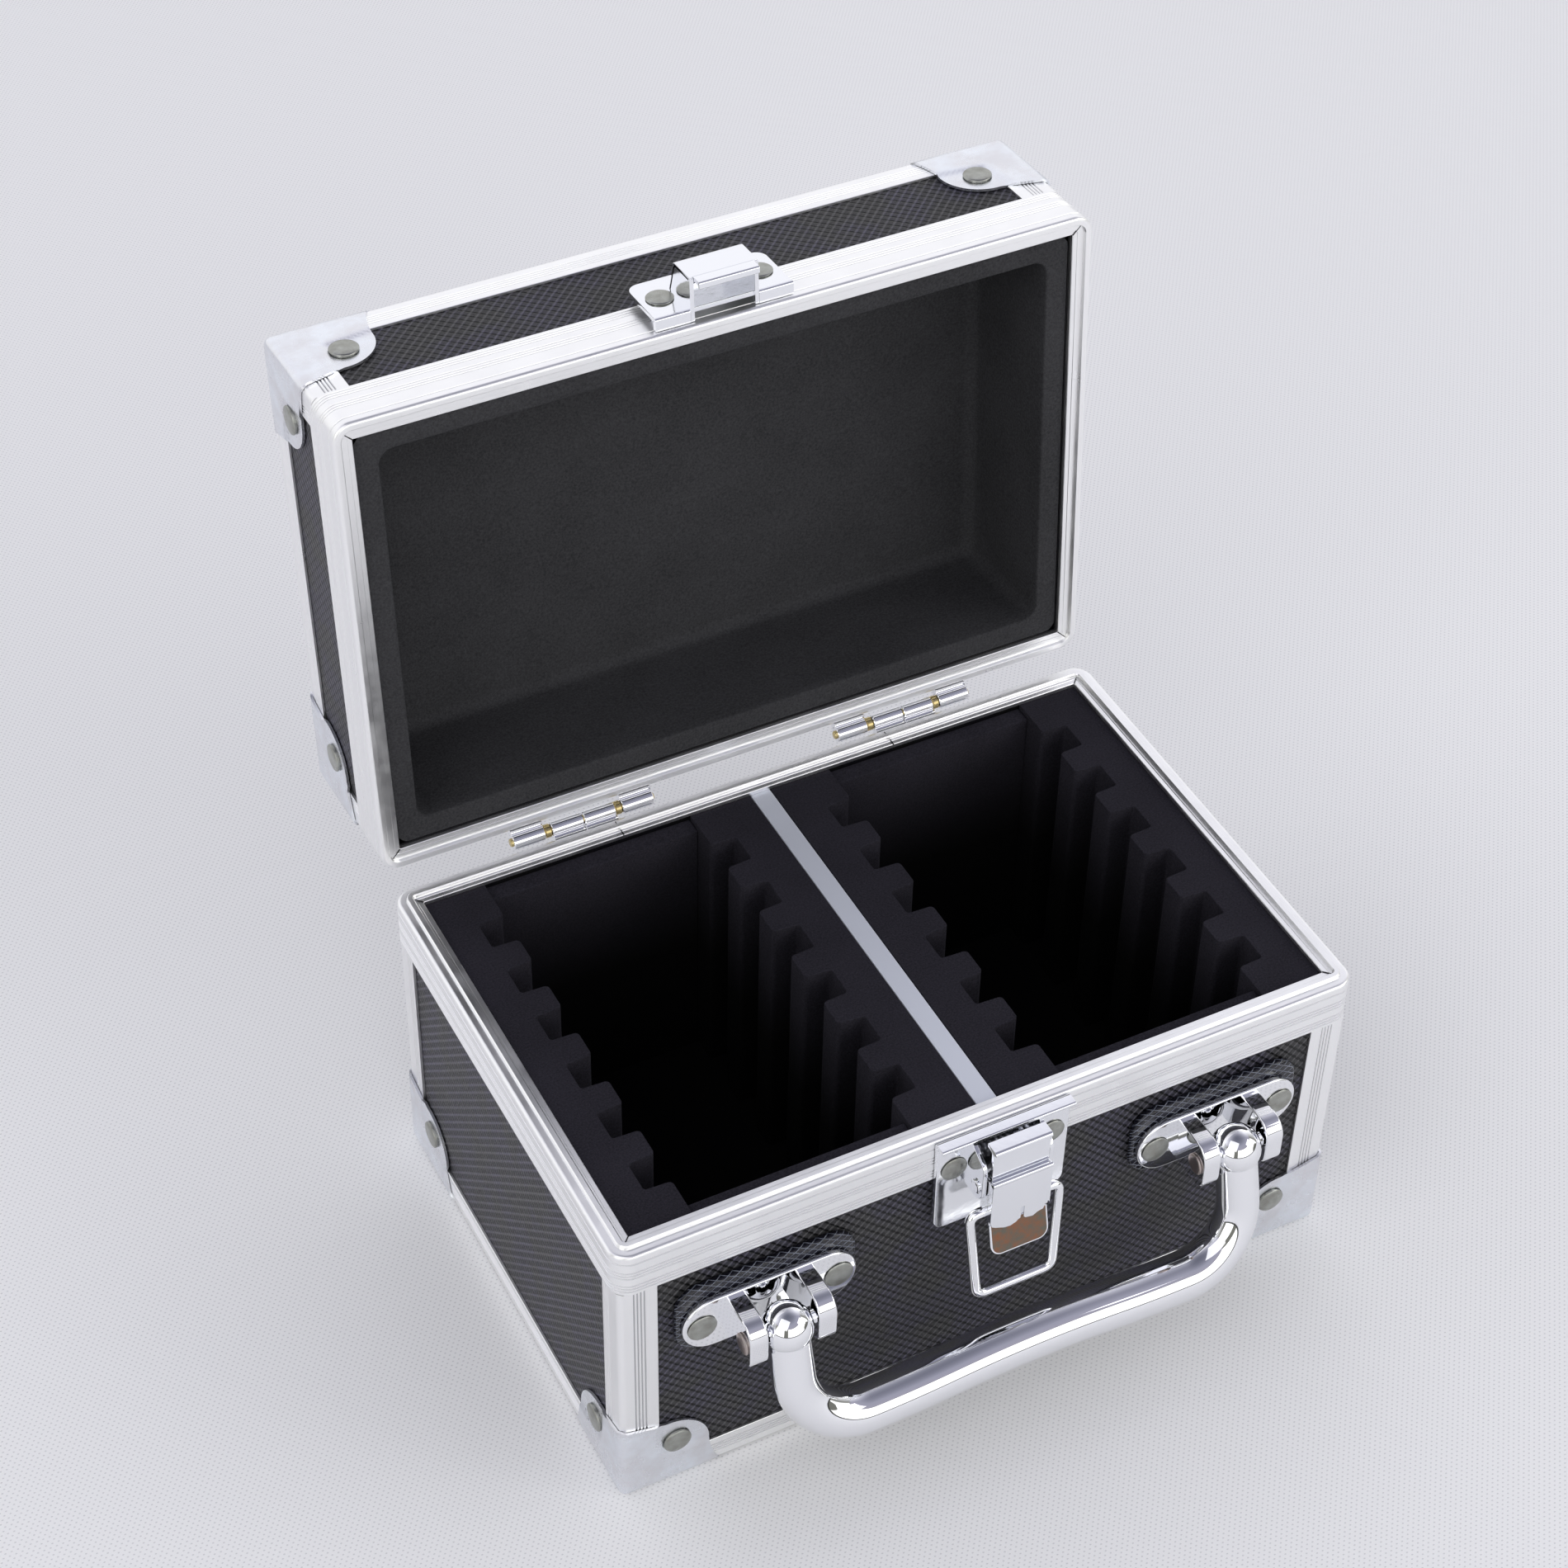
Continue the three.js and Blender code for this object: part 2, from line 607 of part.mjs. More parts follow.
function cornerRing(inset, z, size) {
  const ring = [];
  for (let step = 0; step <= CORNER_STEPS; step++) {
    const angle = (180 + (90 * step) / CORNER_STEPS) * DEGREE;
    const reach = BRACKET_EDGE_ROUND - inset;
    const x = BRACKET_EDGE_ROUND + reach * Math.cos(angle);
    const y = BRACKET_EDGE_ROUND + reach * Math.sin(angle);
    ring.push(new THREE.Vector3(x, y, z));
  }
  ring.push(new THREE.Vector3(size, inset, z));
  ring.push(new THREE.Vector3(size, size, z));
  ring.push(new THREE.Vector3(inset, size, z));
  return ring;
}

// The bracket for the corner at the origin of +X and +Y, standing on Z = 0.
function bracketGeometry() {
  const face = bracketFace();
  const sheet = BRACKET_THICKNESS;
  const fill = ANGLE_DEPTH + ANGLE_ROUND * (1 - Math.SQRT1_2) - FIT - BRACKET_DEPTH;
  const plates = joined(
    block(0, fill, 0, fill, sheet / 2, BRACKET_CORNER_HEIGHT),
    prismAlongY(face, 0, sheet),
    prismAlongX(face, 0, sheet),
    prismAlongZ(bracketUnderside(), 0, sheet),
  );
  const bent = plates.intersect(solidOf(roundedCornerBlock()));
  const rivets = joined(
    rivetFacingFront(BRACKET_RIVET_RADIUS, BRACKET_RIVET_FROM_CORNER, 0, BRACKET_RIVET_HEIGHT),
    rivetFacingLeft(BRACKET_RIVET_RADIUS, 0, BRACKET_RIVET_FROM_CORNER, BRACKET_RIVET_HEIGHT),
  );
  return geometryOf(bent.add(rivets));
}

// A half of the case: panels, posts, frame, rim and four corner brackets.
function buildShell(name, height, band, rimProfile) {
  const shell = new THREE.Group();
  shell.add(...shellPanels(name, height));
  shell.add(named(`${name}_edge_frame`, frameGeometry(), aluminium));
  const rim = loopAround(rimProfile(height), HALF_WIDTH, HALF_DEPTH, RIM_CORNER);
  shell.add(named(`${name}_closure_rim`, rim, aluminium));
  const postFoot = FRAME_LEVEL + FRAME_FACE + FIT;
  const postGeometry = prismAlongZ(postShape(), postFoot, height - band - FIT, 2);
  const corner = bracketGeometry();
  for (const [end, sideY] of [["front", -1], ["back", 1]]) {
    for (const [side, sideX] of [["left", -1], ["right", 1]]) {
      const post = named(`${name}_post_${end}_${side}`, postGeometry, aluminium);
      post.position.set(sideX * (HALF_WIDTH - ANGLE_DEPTH), sideY * (HALF_DEPTH - ANGLE_DEPTH), 0);
      const bracket = named(`${name}_corner_${end}_${side}`, corner, zinc);
      bracket.position.set(sideX * (HALF_WIDTH - BRACKET_DEPTH), sideY * (HALF_DEPTH - BRACKET_DEPTH), 0);
      for (const piece of [post, bracket]) {
        piece.scale.set(-sideX, -sideY, 1);
        shell.add(piece);
      }
    }
  }
  return shell;
}

// Foam fit-out of the base

const FOAM_TOP = BASE_HEIGHT - FOAM_BELOW_RIM;
const PAD_TOP = FLOOR_LEVEL + FIT + FLOOR_PAD_THICKNESS;
const ROOM_X = HALF_WIDTH - INNER_DEPTH - FIT;
const ROOM_Y = HALF_DEPTH - INNER_DEPTH - FIT;
const CAP_HALF_WIDTH = DIVIDER_THICKNESS / 2 + FIT + CAP_THICKNESS;
const ROW_START = CAP_HALF_WIDTH + FIT;
const STRIP_WEB = (ROOM_X - ROW_START - SLOT_SPAN) / 2;

// A toothed strip with its back on X = 0 and its teeth towards +X.
function slottedStripGeometry() {
  const tip = STRIP_WEB + TOOTH_LENGTH;
  const shape = new THREE.Shape();
  shape.moveTo(0, ROOM_Y);
  shape.lineTo(0, -ROOM_Y);
  shape.lineTo(tip, -ROOM_Y);
  for (let slot = 0; slot < SLOTS_PER_ROW; slot++) {
    const middle = (slot - (SLOTS_PER_ROW - 1) / 2) * SLOT_PITCH;
    const near = middle - SLOT_WIDTH / 2;
    const far = middle + SLOT_WIDTH / 2;
    shape.lineTo(tip, near - TOOTH_TIP_ROUND);
    shape.quadraticCurveTo(tip, near, tip - TOOTH_TIP_ROUND, near);
    shape.lineTo(STRIP_WEB, near);
    shape.lineTo(STRIP_WEB, far);
    shape.lineTo(tip - TOOTH_TIP_ROUND, far);
    shape.quadraticCurveTo(tip, far, tip, far + TOOTH_TIP_ROUND);
  }
  shape.lineTo(tip, ROOM_Y);
  return prismAlongZ(shape, PAD_TOP + FIT, FOAM_TOP, 2);
}

function buildFoam() {
  const fitOut = new THREE.Group();
  const strip = slottedStripGeometry();
  for (const [side, sign] of [["left", -1], ["right", 1]]) {
    const outer = named(`${side}_row_outer_slot_strip`, strip, foam);
    outer.position.x = sign * ROOM_X;
    outer.scale.x = -sign;
    const inner = named(`${side}_row_inner_slot_strip`, strip, foam);
    inner.position.x = sign * ROW_START;
    inner.scale.x = sign;
    fitOut.add(outer, inner);
    const near = ROW_START + STRIP_WEB + TOOTH_LENGTH + FIT;
    const far = ROOM_X - STRIP_WEB - TOOTH_LENGTH - FIT;
    const [x0, x1] = sign > 0 ? [near, far] : [-far, -near];
    const padTop = FOAM_TOP - END_PAD_BELOW_STRIPS;
    const innerFace = ROOM_Y - END_PAD_THICKNESS;
    const front = block(x0, x1, -ROOM_Y, -innerFace, PAD_TOP + FIT, padTop);
    const back = block(x0, x1, innerFace, ROOM_Y, PAD_TOP + FIT, padTop);
    fitOut.add(named(`${side}_row_front_pad`, front, foam));
    fitOut.add(named(`${side}_row_back_pad`, back, foam));
  }
  const floor = block(-ROOM_X, ROOM_X, -ROOM_Y, ROOM_Y, FLOOR_LEVEL + FIT, PAD_TOP);
  fitOut.add(named("floor_pad", floor, foam));
  fitOut.add(named("divider_panel", dividerGeometry(), laminate));
  fitOut.add(named("divider_cap", dividerCapGeometry(), aluminium));
  return fitOut;
}

const CAP_TOP = BASE_HEIGHT - RIM_LIP_THICKNESS - FIT;

function dividerGeometry() {
  const half = DIVIDER_THICKNESS / 2;
  return block(-half, half, -ROOM_Y, ROOM_Y, PAD_TOP + FIT, CAP_TOP - CAP_THICKNESS - FIT);
}

// A channel over the divider's top edge.
function dividerCapGeometry() {
  const outer = CAP_HALF_WIDTH;
  const inner = CAP_HALF_WIDTH - CAP_THICKNESS;
  const foot = CAP_TOP - CAP_LEG;
  const shape = polygon([
    [-outer, foot],
    [-inner, foot],
    [-inner, CAP_TOP - CAP_THICKNESS],
    [inner, CAP_TOP - CAP_THICKNESS],
    [inner, foot],
    [outer, foot],
    [outer, CAP_TOP],
    [-outer, CAP_TOP],
  ]);
  return prismAlongY(shape, -ROOM_Y, ROOM_Y);
}

// Carrying handle

const PANEL_FACE_Y = FRONT_Y + PANEL_DEPTH;
const HANDLE_PAD_Y = PANEL_FACE_Y - FIT - HANDLE_PAD_THICKNESS;
const HANDLE_PLATE_Y = HANDLE_PAD_Y - FIT;
const HANDLE_PLATE_FACE_Y = HANDLE_PLATE_Y - HANDLE_PLATE_THICKNESS;
const HANDLE_AXIS_Y = HANDLE_PLATE_FACE_Y - HANDLE_PIN_REACH;
const HANDLE_HOLE_RADIUS = HANDLE_PIN_RADIUS + RUNNING_GAP;

// The lug's side: it stands out of the plate and its nose is round.
function lugShape() {
  const back = HANDLE_PLATE_FACE_Y + HANDLE_PLATE_THICKNESS / 2;
  const nose = HANDLE_PLATE_FACE_Y - LUG_REACH;
  const top = LUG_HEIGHT / 2;
  const shape = new THREE.Shape();
  shape.moveTo(back, -top);
  shape.lineTo(back, top);
  shape.lineTo(nose + LUG_ROUND, top);
  shape.absarc(nose + LUG_ROUND, top - LUG_ROUND, LUG_ROUND, Math.PI / 2, Math.PI);
  shape.absarc(nose + LUG_ROUND, LUG_ROUND - top, LUG_ROUND, Math.PI, Math.PI * 1.5);
  return shape;
}

// Plate, two lugs, the pin riveted through them and two rivets, centred on X = 0 and Z = 0.
function handleBracketGeometry() {
  const plateShape = stadium(HANDLE_PLATE_LENGTH, HANDLE_PLATE_HEIGHT);
  const plate = prismAlongY(plateShape, HANDLE_PLATE_FACE_Y, HANDLE_PLATE_Y, 6);
  const inner = LUG_GAP / 2;
  const outer = inner + LUG_WIDTH;
  const headEnd = outer + HANDLE_PIN_HEAD_THICKNESS;
  const bury = 0.2;
  const pieces = [
    plate,
    prismAlongX(lugShape(), inner, outer),
    prismAlongX(lugShape(), -outer, -inner),
    rodAlongX(HANDLE_PIN_RADIUS, -outer, outer, HANDLE_AXIS_Y, 0),
    rodAlongX(HANDLE_PIN_HEAD_RADIUS, outer - bury, headEnd, HANDLE_AXIS_Y, 0),
    rodAlongX(HANDLE_PIN_HEAD_RADIUS, -headEnd, bury - outer, HANDLE_AXIS_Y, 0),
  ];
  for (const sign of [-1, 1]) {
    const x = (sign * HANDLE_RIVET_SPACING) / 2;
    pieces.push(rivetFacingFront(FITTING_RIVET_RADIUS, x, HANDLE_PLATE_FACE_Y, 0));
  }
  return geometryOf(joined(...pieces));
}

// Half of the bail's centre line, as X and depth below the pins: the leg, the bend and the grip.
function handleRuns() {
  const legX = HANDLE_SPACING / 2;
  const crown = HANDLE_DROP - HANDLE_GRIP_RISE;
  const bendX = legX - HANDLE_BEND_RADIUS;
  const bendTop = HANDLE_DROP - HANDLE_BEND_RADIUS;
  const pull = QUARTER_TURN_PULL * HANDLE_BEND_RADIUS;
  const point = (x, depth) => new THREE.Vector2(x, depth);
  return [
    new THREE.LineCurve(point(legX, 0), point(legX, bendTop)),
    new THREE.CubicBezierCurve(
      point(legX, bendTop),
      point(legX, bendTop + pull),
      point(bendX + pull, HANDLE_DROP),
      point(bendX, HANDLE_DROP),
    ),
    new THREE.CubicBezierCurve(
      point(bendX, HANDLE_DROP),
      point(bendX * 0.55, HANDLE_DROP),
      point(bendX * 0.45, crown),
      point(0, crown),
    ),
  ];
}

// Stations along the left half of the bail, each with its place, its direction and its radius.
function handleStations() {
  const stations = [];
  handleRuns().forEach((run, part) => {
    const steps = HANDLE_STEPS[part];
    for (let step = part === 0 ? 0 : 1; step <= steps; step++) {
      const along = step / steps;
      const swelling = [0, THREE.MathUtils.smoothstep(along, 0, 1), 1][part];
      const radius = THREE.MathUtils.lerp(HANDLE_LEG_RADIUS, HANDLE_GRIP_RADIUS, swelling);
      stations.push({ place: run.getPoint(along), heading: run.getTangent(along), radius });
    }
  });
  return stations;
}

// A ring of points square to the bail's centre line, turned to the lean about the pins.
function handleRing({ place, heading, radius }, side) {
  const lean = HANDLE_LEAN * DEGREE;
  const ring = [];
  for (let i = 0; i < ROD_SIDES; i++) {
    const angle = (-i / ROD_SIDES) * 2 * Math.PI;
    const across = radius * Math.cos(angle);
    const out = radius * Math.sin(angle);
    const x = side * (place.x + heading.y * across);
    const depth = place.y - heading.x * across;
    const y = HANDLE_AXIS_Y - depth * Math.sin(lean) - out * Math.cos(lean);
    const z = HANDLE_HEIGHT - depth * Math.cos(lean) + out * Math.sin(lean);
    ring.push(new THREE.Vector3(x, y, z));
  }
  return ring;
}

function circleShape(radius, sides) {
  const points = [];
  for (let i = 0; i < sides; i++) {
    const angle = (i / sides) * 2 * Math.PI;
    points.push(new THREE.Vector2(radius * Math.cos(angle), radius * Math.sin(angle)));
  }
  return new THREE.Shape(points);
}

function handleGeometry() {
  const half = handleStations();
  const left = half.map((station) => handleRing(station, -1));
  const right = half.slice(0, -1).reverse().map((station) => handleRing(station, 1));
  let solid = solidOf(loft([...left, ...right]));
  for (const sign of [-1, 1]) {
    const x = (sign * HANDLE_SPACING) / 2;
    const ball = new THREE.SphereGeometry(HANDLE_BALL_RADIUS, 16, 10);
    ball.rotateX(Math.PI / 2);
    ball.translate(x, HANDLE_AXIS_Y, HANDLE_HEIGHT);
    solid = solid.add(solidOf(ball));
  }
  for (const sign of [-1, 1]) {
    const x = (sign * HANDLE_SPACING) / 2;
    const reach = HANDLE_BALL_RADIUS * 1.5;
    solid = cutBy(solid, rodAlongX(HANDLE_HOLE_RADIUS, x - reach, x + reach, HANDLE_AXIS_Y, HANDLE_HEIGHT));
  }
  return geometryOf(solid);
}

function buildHandle() {
  const group = new THREE.Group();
  const padShape = roundedRectangle(HANDLE_PAD_LENGTH / 2, HANDLE_PAD_HEIGHT / 2, HANDLE_PAD_ROUND);
  const pad = prismAlongY(padShape, HANDLE_PAD_Y, PANEL_FACE_Y - FIT, 6);
  const bracket = handleBracketGeometry();
  for (const [side, sign] of [["left", -1], ["right", 1]]) {
    const x = (sign * HANDLE_SPACING) / 2;
    const padMesh = named(`handle_pad_${side}`, pad, laminate);
    padMesh.position.set(x, 0, HANDLE_HEIGHT + HANDLE_PAD_LIFT);
    const bracketMesh = named(`handle_bracket_${side}`, bracket, chrome);
    bracketMesh.position.set(x, 0, HANDLE_HEIGHT);
    group.add(padMesh, bracketMesh);
  }
  group.add(named("carry_handle", handleGeometry(), chrome));
  return group;
}

// Latch. Its pieces are drawn in reach outwards from the front of the rims and height.

const LATCH_TOP = BASE_HEIGHT - LATCH_TOP_BELOW_RIM;
const LATCH_FACE_OUT = FIT + LATCH_PLATE_THICKNESS;
const LEVER_PIVOT_Z = BASE_HEIGHT - LEVER_PIVOT_BELOW_RIM;
const LEVER_PIVOT_Y = FRONT_Y - LEVER_PIVOT_OUT;
const CHEEK_INNER = LEVER_WIDTH / 2 + RUNNING_GAP;
const RING_PIVOT_Z = BASE_HEIGHT - RING_PIVOT_BELOW_RIM;
const RING_PIVOT_Y = FRONT_Y - RING_PIVOT_OUT;

function outwards(points) {
  return polygon(points.map(([out, z]) => [FRONT_Y - out, z]));
}

// A cheek of the latch plate, seen from the side, with round outer corners.
function cheekShape() {
  const top = BASE_HEIGHT - CHEEK_TOP_BELOW_RIM;
  const foot = top - CHEEK_HEIGHT;
  const root = LATCH_FACE_OUT - LATCH_PLATE_THICKNESS / 2;
  const tip = LATCH_FACE_OUT + CHEEK_REACH;
  const cut = 2;
  return outwards([
    [root, top],
    [root, foot],
    [tip - cut, foot],
    [tip, foot + cut],
    [tip, top - cut],
    [tip - cut, top],
  ]);
}

function latchPlateShape() {
  const top = LATCH_PLATE_TOP_WIDTH / 2;
  const foot = LATCH_PLATE_FOOT_WIDTH / 2;
  const footZ = LATCH_TOP - LATCH_PLATE_HEIGHT;
  const round = LATCH_PLATE_ROUND;
  const shape = new THREE.Shape();
  shape.moveTo(-top, LATCH_TOP);
  shape.lineTo(-foot, footZ + round);
  shape.quadraticCurveTo(-foot, footZ, -foot + round, footZ);
  shape.lineTo(foot - round, footZ);
  shape.quadraticCurveTo(foot, footZ, foot, footZ + round);
  shape.lineTo(top, LATCH_TOP);
  return shape;
}

function latchPlateGeometry() {
  const plate = prismAlongY(latchPlateShape(), FRONT_Y - LATCH_FACE_OUT, FRONT_Y - FIT);
  const half = LATCH_PLATE_TOP_WIDTH / 2;
  const flangeY = FRONT_Y - LATCH_FACE_OUT - LATCH_FLANGE_REACH;
  const flangeBack = FRONT_Y - LATCH_FACE_OUT + LATCH_PLATE_THICKNESS / 2;
  const flange = block(-half, half, flangeY, flangeBack, LATCH_TOP - LATCH_FLANGE_THICKNESS, LATCH_TOP);
  const outer = CHEEK_INNER + CHEEK_THICKNESS;
  const pieces = [
    plate,
    flange,
    prismAlongX(cheekShape(), CHEEK_INNER, outer),
    prismAlongX(cheekShape(), -outer, -CHEEK_INNER),
  ];
  for (const sign of [-1, 1]) {
    const x = (sign * LATCH_RIVET_SPACING) / 2;
    const rivetZ = BASE_HEIGHT - LATCH_RIVET_BELOW_RIM;
    pieces.push(rivetFacingFront(FITTING_RIVET_RADIUS, x, FRONT_Y - LATCH_FACE_OUT, rivetZ));
  }
  const bore = rodAlongX(LATCH_PIN_RADIUS + FIT, -outer - 1, outer + 1, LEVER_PIVOT_Y, LEVER_PIVOT_Z);
  return geometryOf(cutBy(joined(...pieces), bore));
}

function latchPinGeometry() {
  const start = CHEEK_INNER + CHEEK_THICKNESS + FIT;
  const end = start + LATCH_PIN_HEAD_THICKNESS;
  return geometryOf(
    joined(
      rodAlongX(LATCH_PIN_RADIUS, -end, end, LEVER_PIVOT_Y, LEVER_PIVOT_Z),
      rodAlongX(LATCH_PIN_HEAD_RADIUS, start, end, LEVER_PIVOT_Y, LEVER_PIVOT_Z),
      rodAlongX(LATCH_PIN_HEAD_RADIUS, -end, -start, LEVER_PIVOT_Y, LEVER_PIVOT_Z),
    ),
  );
}

// The torsion spring's coils, wound round the latch pin between the lever's webs.
class CoilCurve extends THREE.Curve {
  getPoint(t, target = new THREE.Vector3()) {
    const length = LEVER_WIDTH - 2 * (LEVER_WEB_WALL + RUNNING_GAP + SPRING_WIRE_RADIUS);
    const angle = t * SPRING_TURNS * 2 * Math.PI;
    const y = LEVER_PIVOT_Y + SPRING_COIL_RADIUS * Math.cos(angle);
    const z = LEVER_PIVOT_Z + SPRING_COIL_RADIUS * Math.sin(angle);
    return target.set((t - 0.5) * length, y, z);
  }
}

function latchSpringGeometry() {
  return new THREE.ExtrudeGeometry(circleShape(SPRING_WIRE_RADIUS, 5), {
    steps: SPRING_TURNS * 8,
    bevelEnabled: false,
    extrudePath: new CoilCurve(),
  });
}

// The lever's bent sheet: pull tab, front web, neck and hooked nose, as one bent strip.
function leverSheetShape() {
  const rim = BASE_HEIGHT;
  const web = LEVER_WEB_OUT;
  const back = web - LEVER_SHEET;
  const neck = web - HOOK_BITE / 2;
  const neckBack = neck - LEVER_SHEET;
  const neckFoot = rim - COVER_TOP_BELOW_RIM + RUNNING_GAP;
  const noseTop = rim + NOSE_ABOVE_RIM;
  const noseFoot = noseTop - NOSE_THICKNESS;
  const tabFoot = rim - TONGUE_TAB_DROP;
  const tabRoot = rim - COVER_FOOT_BELOW_RIM - 1;
  return outwards([
    [TONGUE_TAB_OUT, tabFoot],
    [web, tabRoot],
    [web, neckFoot - 0.8],
    [neck, neckFoot],
    [neck, noseFoot],
    [neck + HOOK_BITE, noseFoot + 0.1],
    [neck + HOOK_BITE, noseTop - 0.4],
    [neck + HOOK_BITE - 0.4, noseTop],
    [neckBack - NOSE_DEPTH + LEVER_SHEET, noseTop],
    [neckBack - NOSE_DEPTH + LEVER_SHEET, noseFoot],
    [neckBack, noseFoot],
    [neckBack, neckFoot],
    [back, neckFoot - 0.8],
    [back, tabRoot],
    [TONGUE_TAB_OUT - 0.7, tabFoot - 0.3],
  ]);
}

// The lever's side web, which holds the latch pin above and the pull ring below.
function leverWebShape() {
  const front = LEVER_WEB_OUT - LEVER_SHEET / 2;
  const pin = LEVER_PIVOT_OUT;
  const pinWall = LATCH_PIN_RADIUS + 1;
  const ringWall = RING_WIRE_RADIUS + RUNNING_GAP + 0.8;
  return outwards([
    [front, LEVER_PIVOT_Z + pinWall + 1],
    [pin, LEVER_PIVOT_Z + pinWall],
    [pin - pinWall, LEVER_PIVOT_Z + pinWall / 2],
    [pin - pinWall, LEVER_PIVOT_Z - pinWall / 2],
    [RING_PIVOT_OUT - ringWall, RING_PIVOT_Z + ringWall],
    [RING_PIVOT_OUT - ringWall, RING_PIVOT_Z - ringWall / 2],
    [RING_PIVOT_OUT - ringWall / 2, RING_PIVOT_Z - ringWall],
    [front, RING_PIVOT_Z - ringWall],
  ]);
}

function latchLeverGeometry() {
  const half = LEVER_WIDTH / 2;
  const wide = half + 2;
  const wall = LEVER_WEB_WALL;
  const rim = BASE_HEIGHT;
  const coverBack = FRONT_Y - LEVER_WEB_OUT + LEVER_SHEET / 2;
  const coverFront = FRONT_Y - LEVER_WEB_OUT - COVER_THICKNESS;
  const coverFoot = rim - COVER_FOOT_BELOW_RIM;
  const cover = block(-half, half, coverFront, coverBack, coverFoot, rim - COVER_TOP_BELOW_RIM);
  const slitHalf = COVER_SLIT_WIDTH / 2;
  const slitTop = coverFoot + COVER_SLIT_HEIGHT;
  const slit = block(-slitHalf, slitHalf, coverFront - 1, FRONT_Y - LEVER_WEB_OUT, coverFoot - 1, slitTop);
  const body = joined(
    prismAlongX(leverSheetShape(), -half, half),
    prismAlongX(leverWebShape(), half - wall, half),
    prismAlongX(leverWebShape(), -half, wall - half),
    cover,
  );
  const noseSide = NOSE_WIDTH / 2;
  const noseFoot = rim - COVER_TOP_BELOW_RIM + 1;
  const tabSide = TONGUE_TAB_WIDTH / 2;
  const tabTop = rim - COVER_FOOT_BELOW_RIM;
  const trims = [slit];
  for (const sign of [-1, 1]) {
    const between = (inner) => (sign > 0 ? [inner, wide] : [-wide, -inner]);
    const before = FRONT_Y - 2 * LEVER_WEB_OUT;
    const webBack = FRONT_Y - LEVER_WEB_OUT + LEVER_SHEET;
    trims.push(block(...between(noseSide), before, FRONT_Y, noseFoot, rim + 5));
    trims.push(block(...between(tabSide), before, webBack, tabTop - 12, tabTop - 0.4));
  }
  const pinBore = rodAlongX(LATCH_PIN_RADIUS + RUNNING_GAP, -wide, wide, LEVER_PIVOT_Y, LEVER_PIVOT_Z);
  const ringBores = [-1, 1].map((sign) => {
    const reach = sign > 0 ? [half - wall - 0.5, wide] : [-wide, wall + 0.5 - half];
    return rodAlongX(RING_WIRE_RADIUS + RUNNING_GAP, ...reach, RING_PIVOT_Y, RING_PIVOT_Z);
  });
  return geometryOf(cutBy(body, ...trims, pinBore, ...ringBores));
}

// The pull ring's centre line: in through one web, down, along the foot and up again.
function ringPath() {
  const lean = RING_LEAN * DEGREE;
  const at = (x, z) => {
    return new THREE.Vector3(x, RING_PIVOT_Y + z * Math.sin(lean), RING_PIVOT_Z + z * Math.cos(lean));
  };
  const top = RING_TOP_HALF_WIDTH;
  const foot = RING_FOOT_HALF_WIDTH;
  const end = LEVER_WIDTH / 2 - LEVER_WEB_WALL - 0.3;
  const bend = RING_BEND;
  const path = new THREE.CurvePath();
  const corner = (from, through, to) => path.add(new THREE.QuadraticBezierCurve3(from, through, to));
  const straight = (from, to) => path.add(new THREE.LineCurve3(from, to));
  const drift = ((top - foot) * bend) / RING_LENGTH;
  straight(at(-end, 0), at(-top + bend, 0));
  corner(at(-top + bend, 0), at(-top, 0), at(-top + drift, -bend));
  straight(at(-top + drift, -bend), at(-foot - drift, -RING_LENGTH + bend));
  corner(at(-foot - drift, -RING_LENGTH + bend), at(-foot, -RING_LENGTH), at(-foot + bend, -RING_LENGTH));
  straight(at(-foot + bend, -RING_LENGTH), at(foot - bend, -RING_LENGTH));
  corner(at(foot - bend, -RING_LENGTH), at(foot, -RING_LENGTH), at(foot + drift, -RING_LENGTH + bend));
  straight(at(foot + drift, -RING_LENGTH + bend), at(top - drift, -bend));
  corner(at(top - drift, -bend), at(top, 0), at(top - bend, 0));
  straight(at(top - bend, 0), at(end, 0));
  return path;
}

function pullRingGeometry() {
  return new THREE.ExtrudeGeometry(circleShape(RING_WIRE_RADIUS, WIRE_SIDES), {
    steps: 48,
    bevelEnabled: false,
    extrudePath: ringPath(),
  });
}

function buildLatch() {
  const group = new THREE.Group();
  group.add(named("latch_plate", latchPlateGeometry(), chrome));
  group.add(named("latch_pin", latchPinGeometry(), chrome));
  group.add(named("latch_spring", latchSpringGeometry(), zinc));
  group.add(named("latch_lever", latchLeverGeometry(), chrome));
  group.add(named("latch_pull_ring", pullRingGeometry(), chrome));
  return group;
}

// Keeper on the lid, drawn in its closed place

const CATCH_FOOT = LID_RIM + CATCH_ABOVE_RIM;
const CATCH_FRONT_OUT = CATCH_STAND_OFF + CATCH_THICKNESS;

function catchPlateShape() {
  const half = CATCH_WIDTH / 2;
  const top = CATCH_FOOT + CATCH_HEIGHT;
  const round = CATCH_ROUND;
  const shape = new THREE.Shape();
  shape.moveTo(-half, CATCH_FOOT);
  shape.lineTo(half, CATCH_FOOT);
  shape.absarc(half - round, top - round, round, 0, 90 * DEGREE);
  shape.absarc(round - half, top - round, round, 90 * DEGREE, 180 * DEGREE);
  return shape;
}

const HOOK_OUT = LEVER_WEB_OUT + HOOK_BITE / 2;
const CATCH_WALL_IN = HOOK_OUT + RUNNING_GAP;
const CATCH_WALL_OUT = CATCH_WALL_IN + CATCH_BOX_WALL;

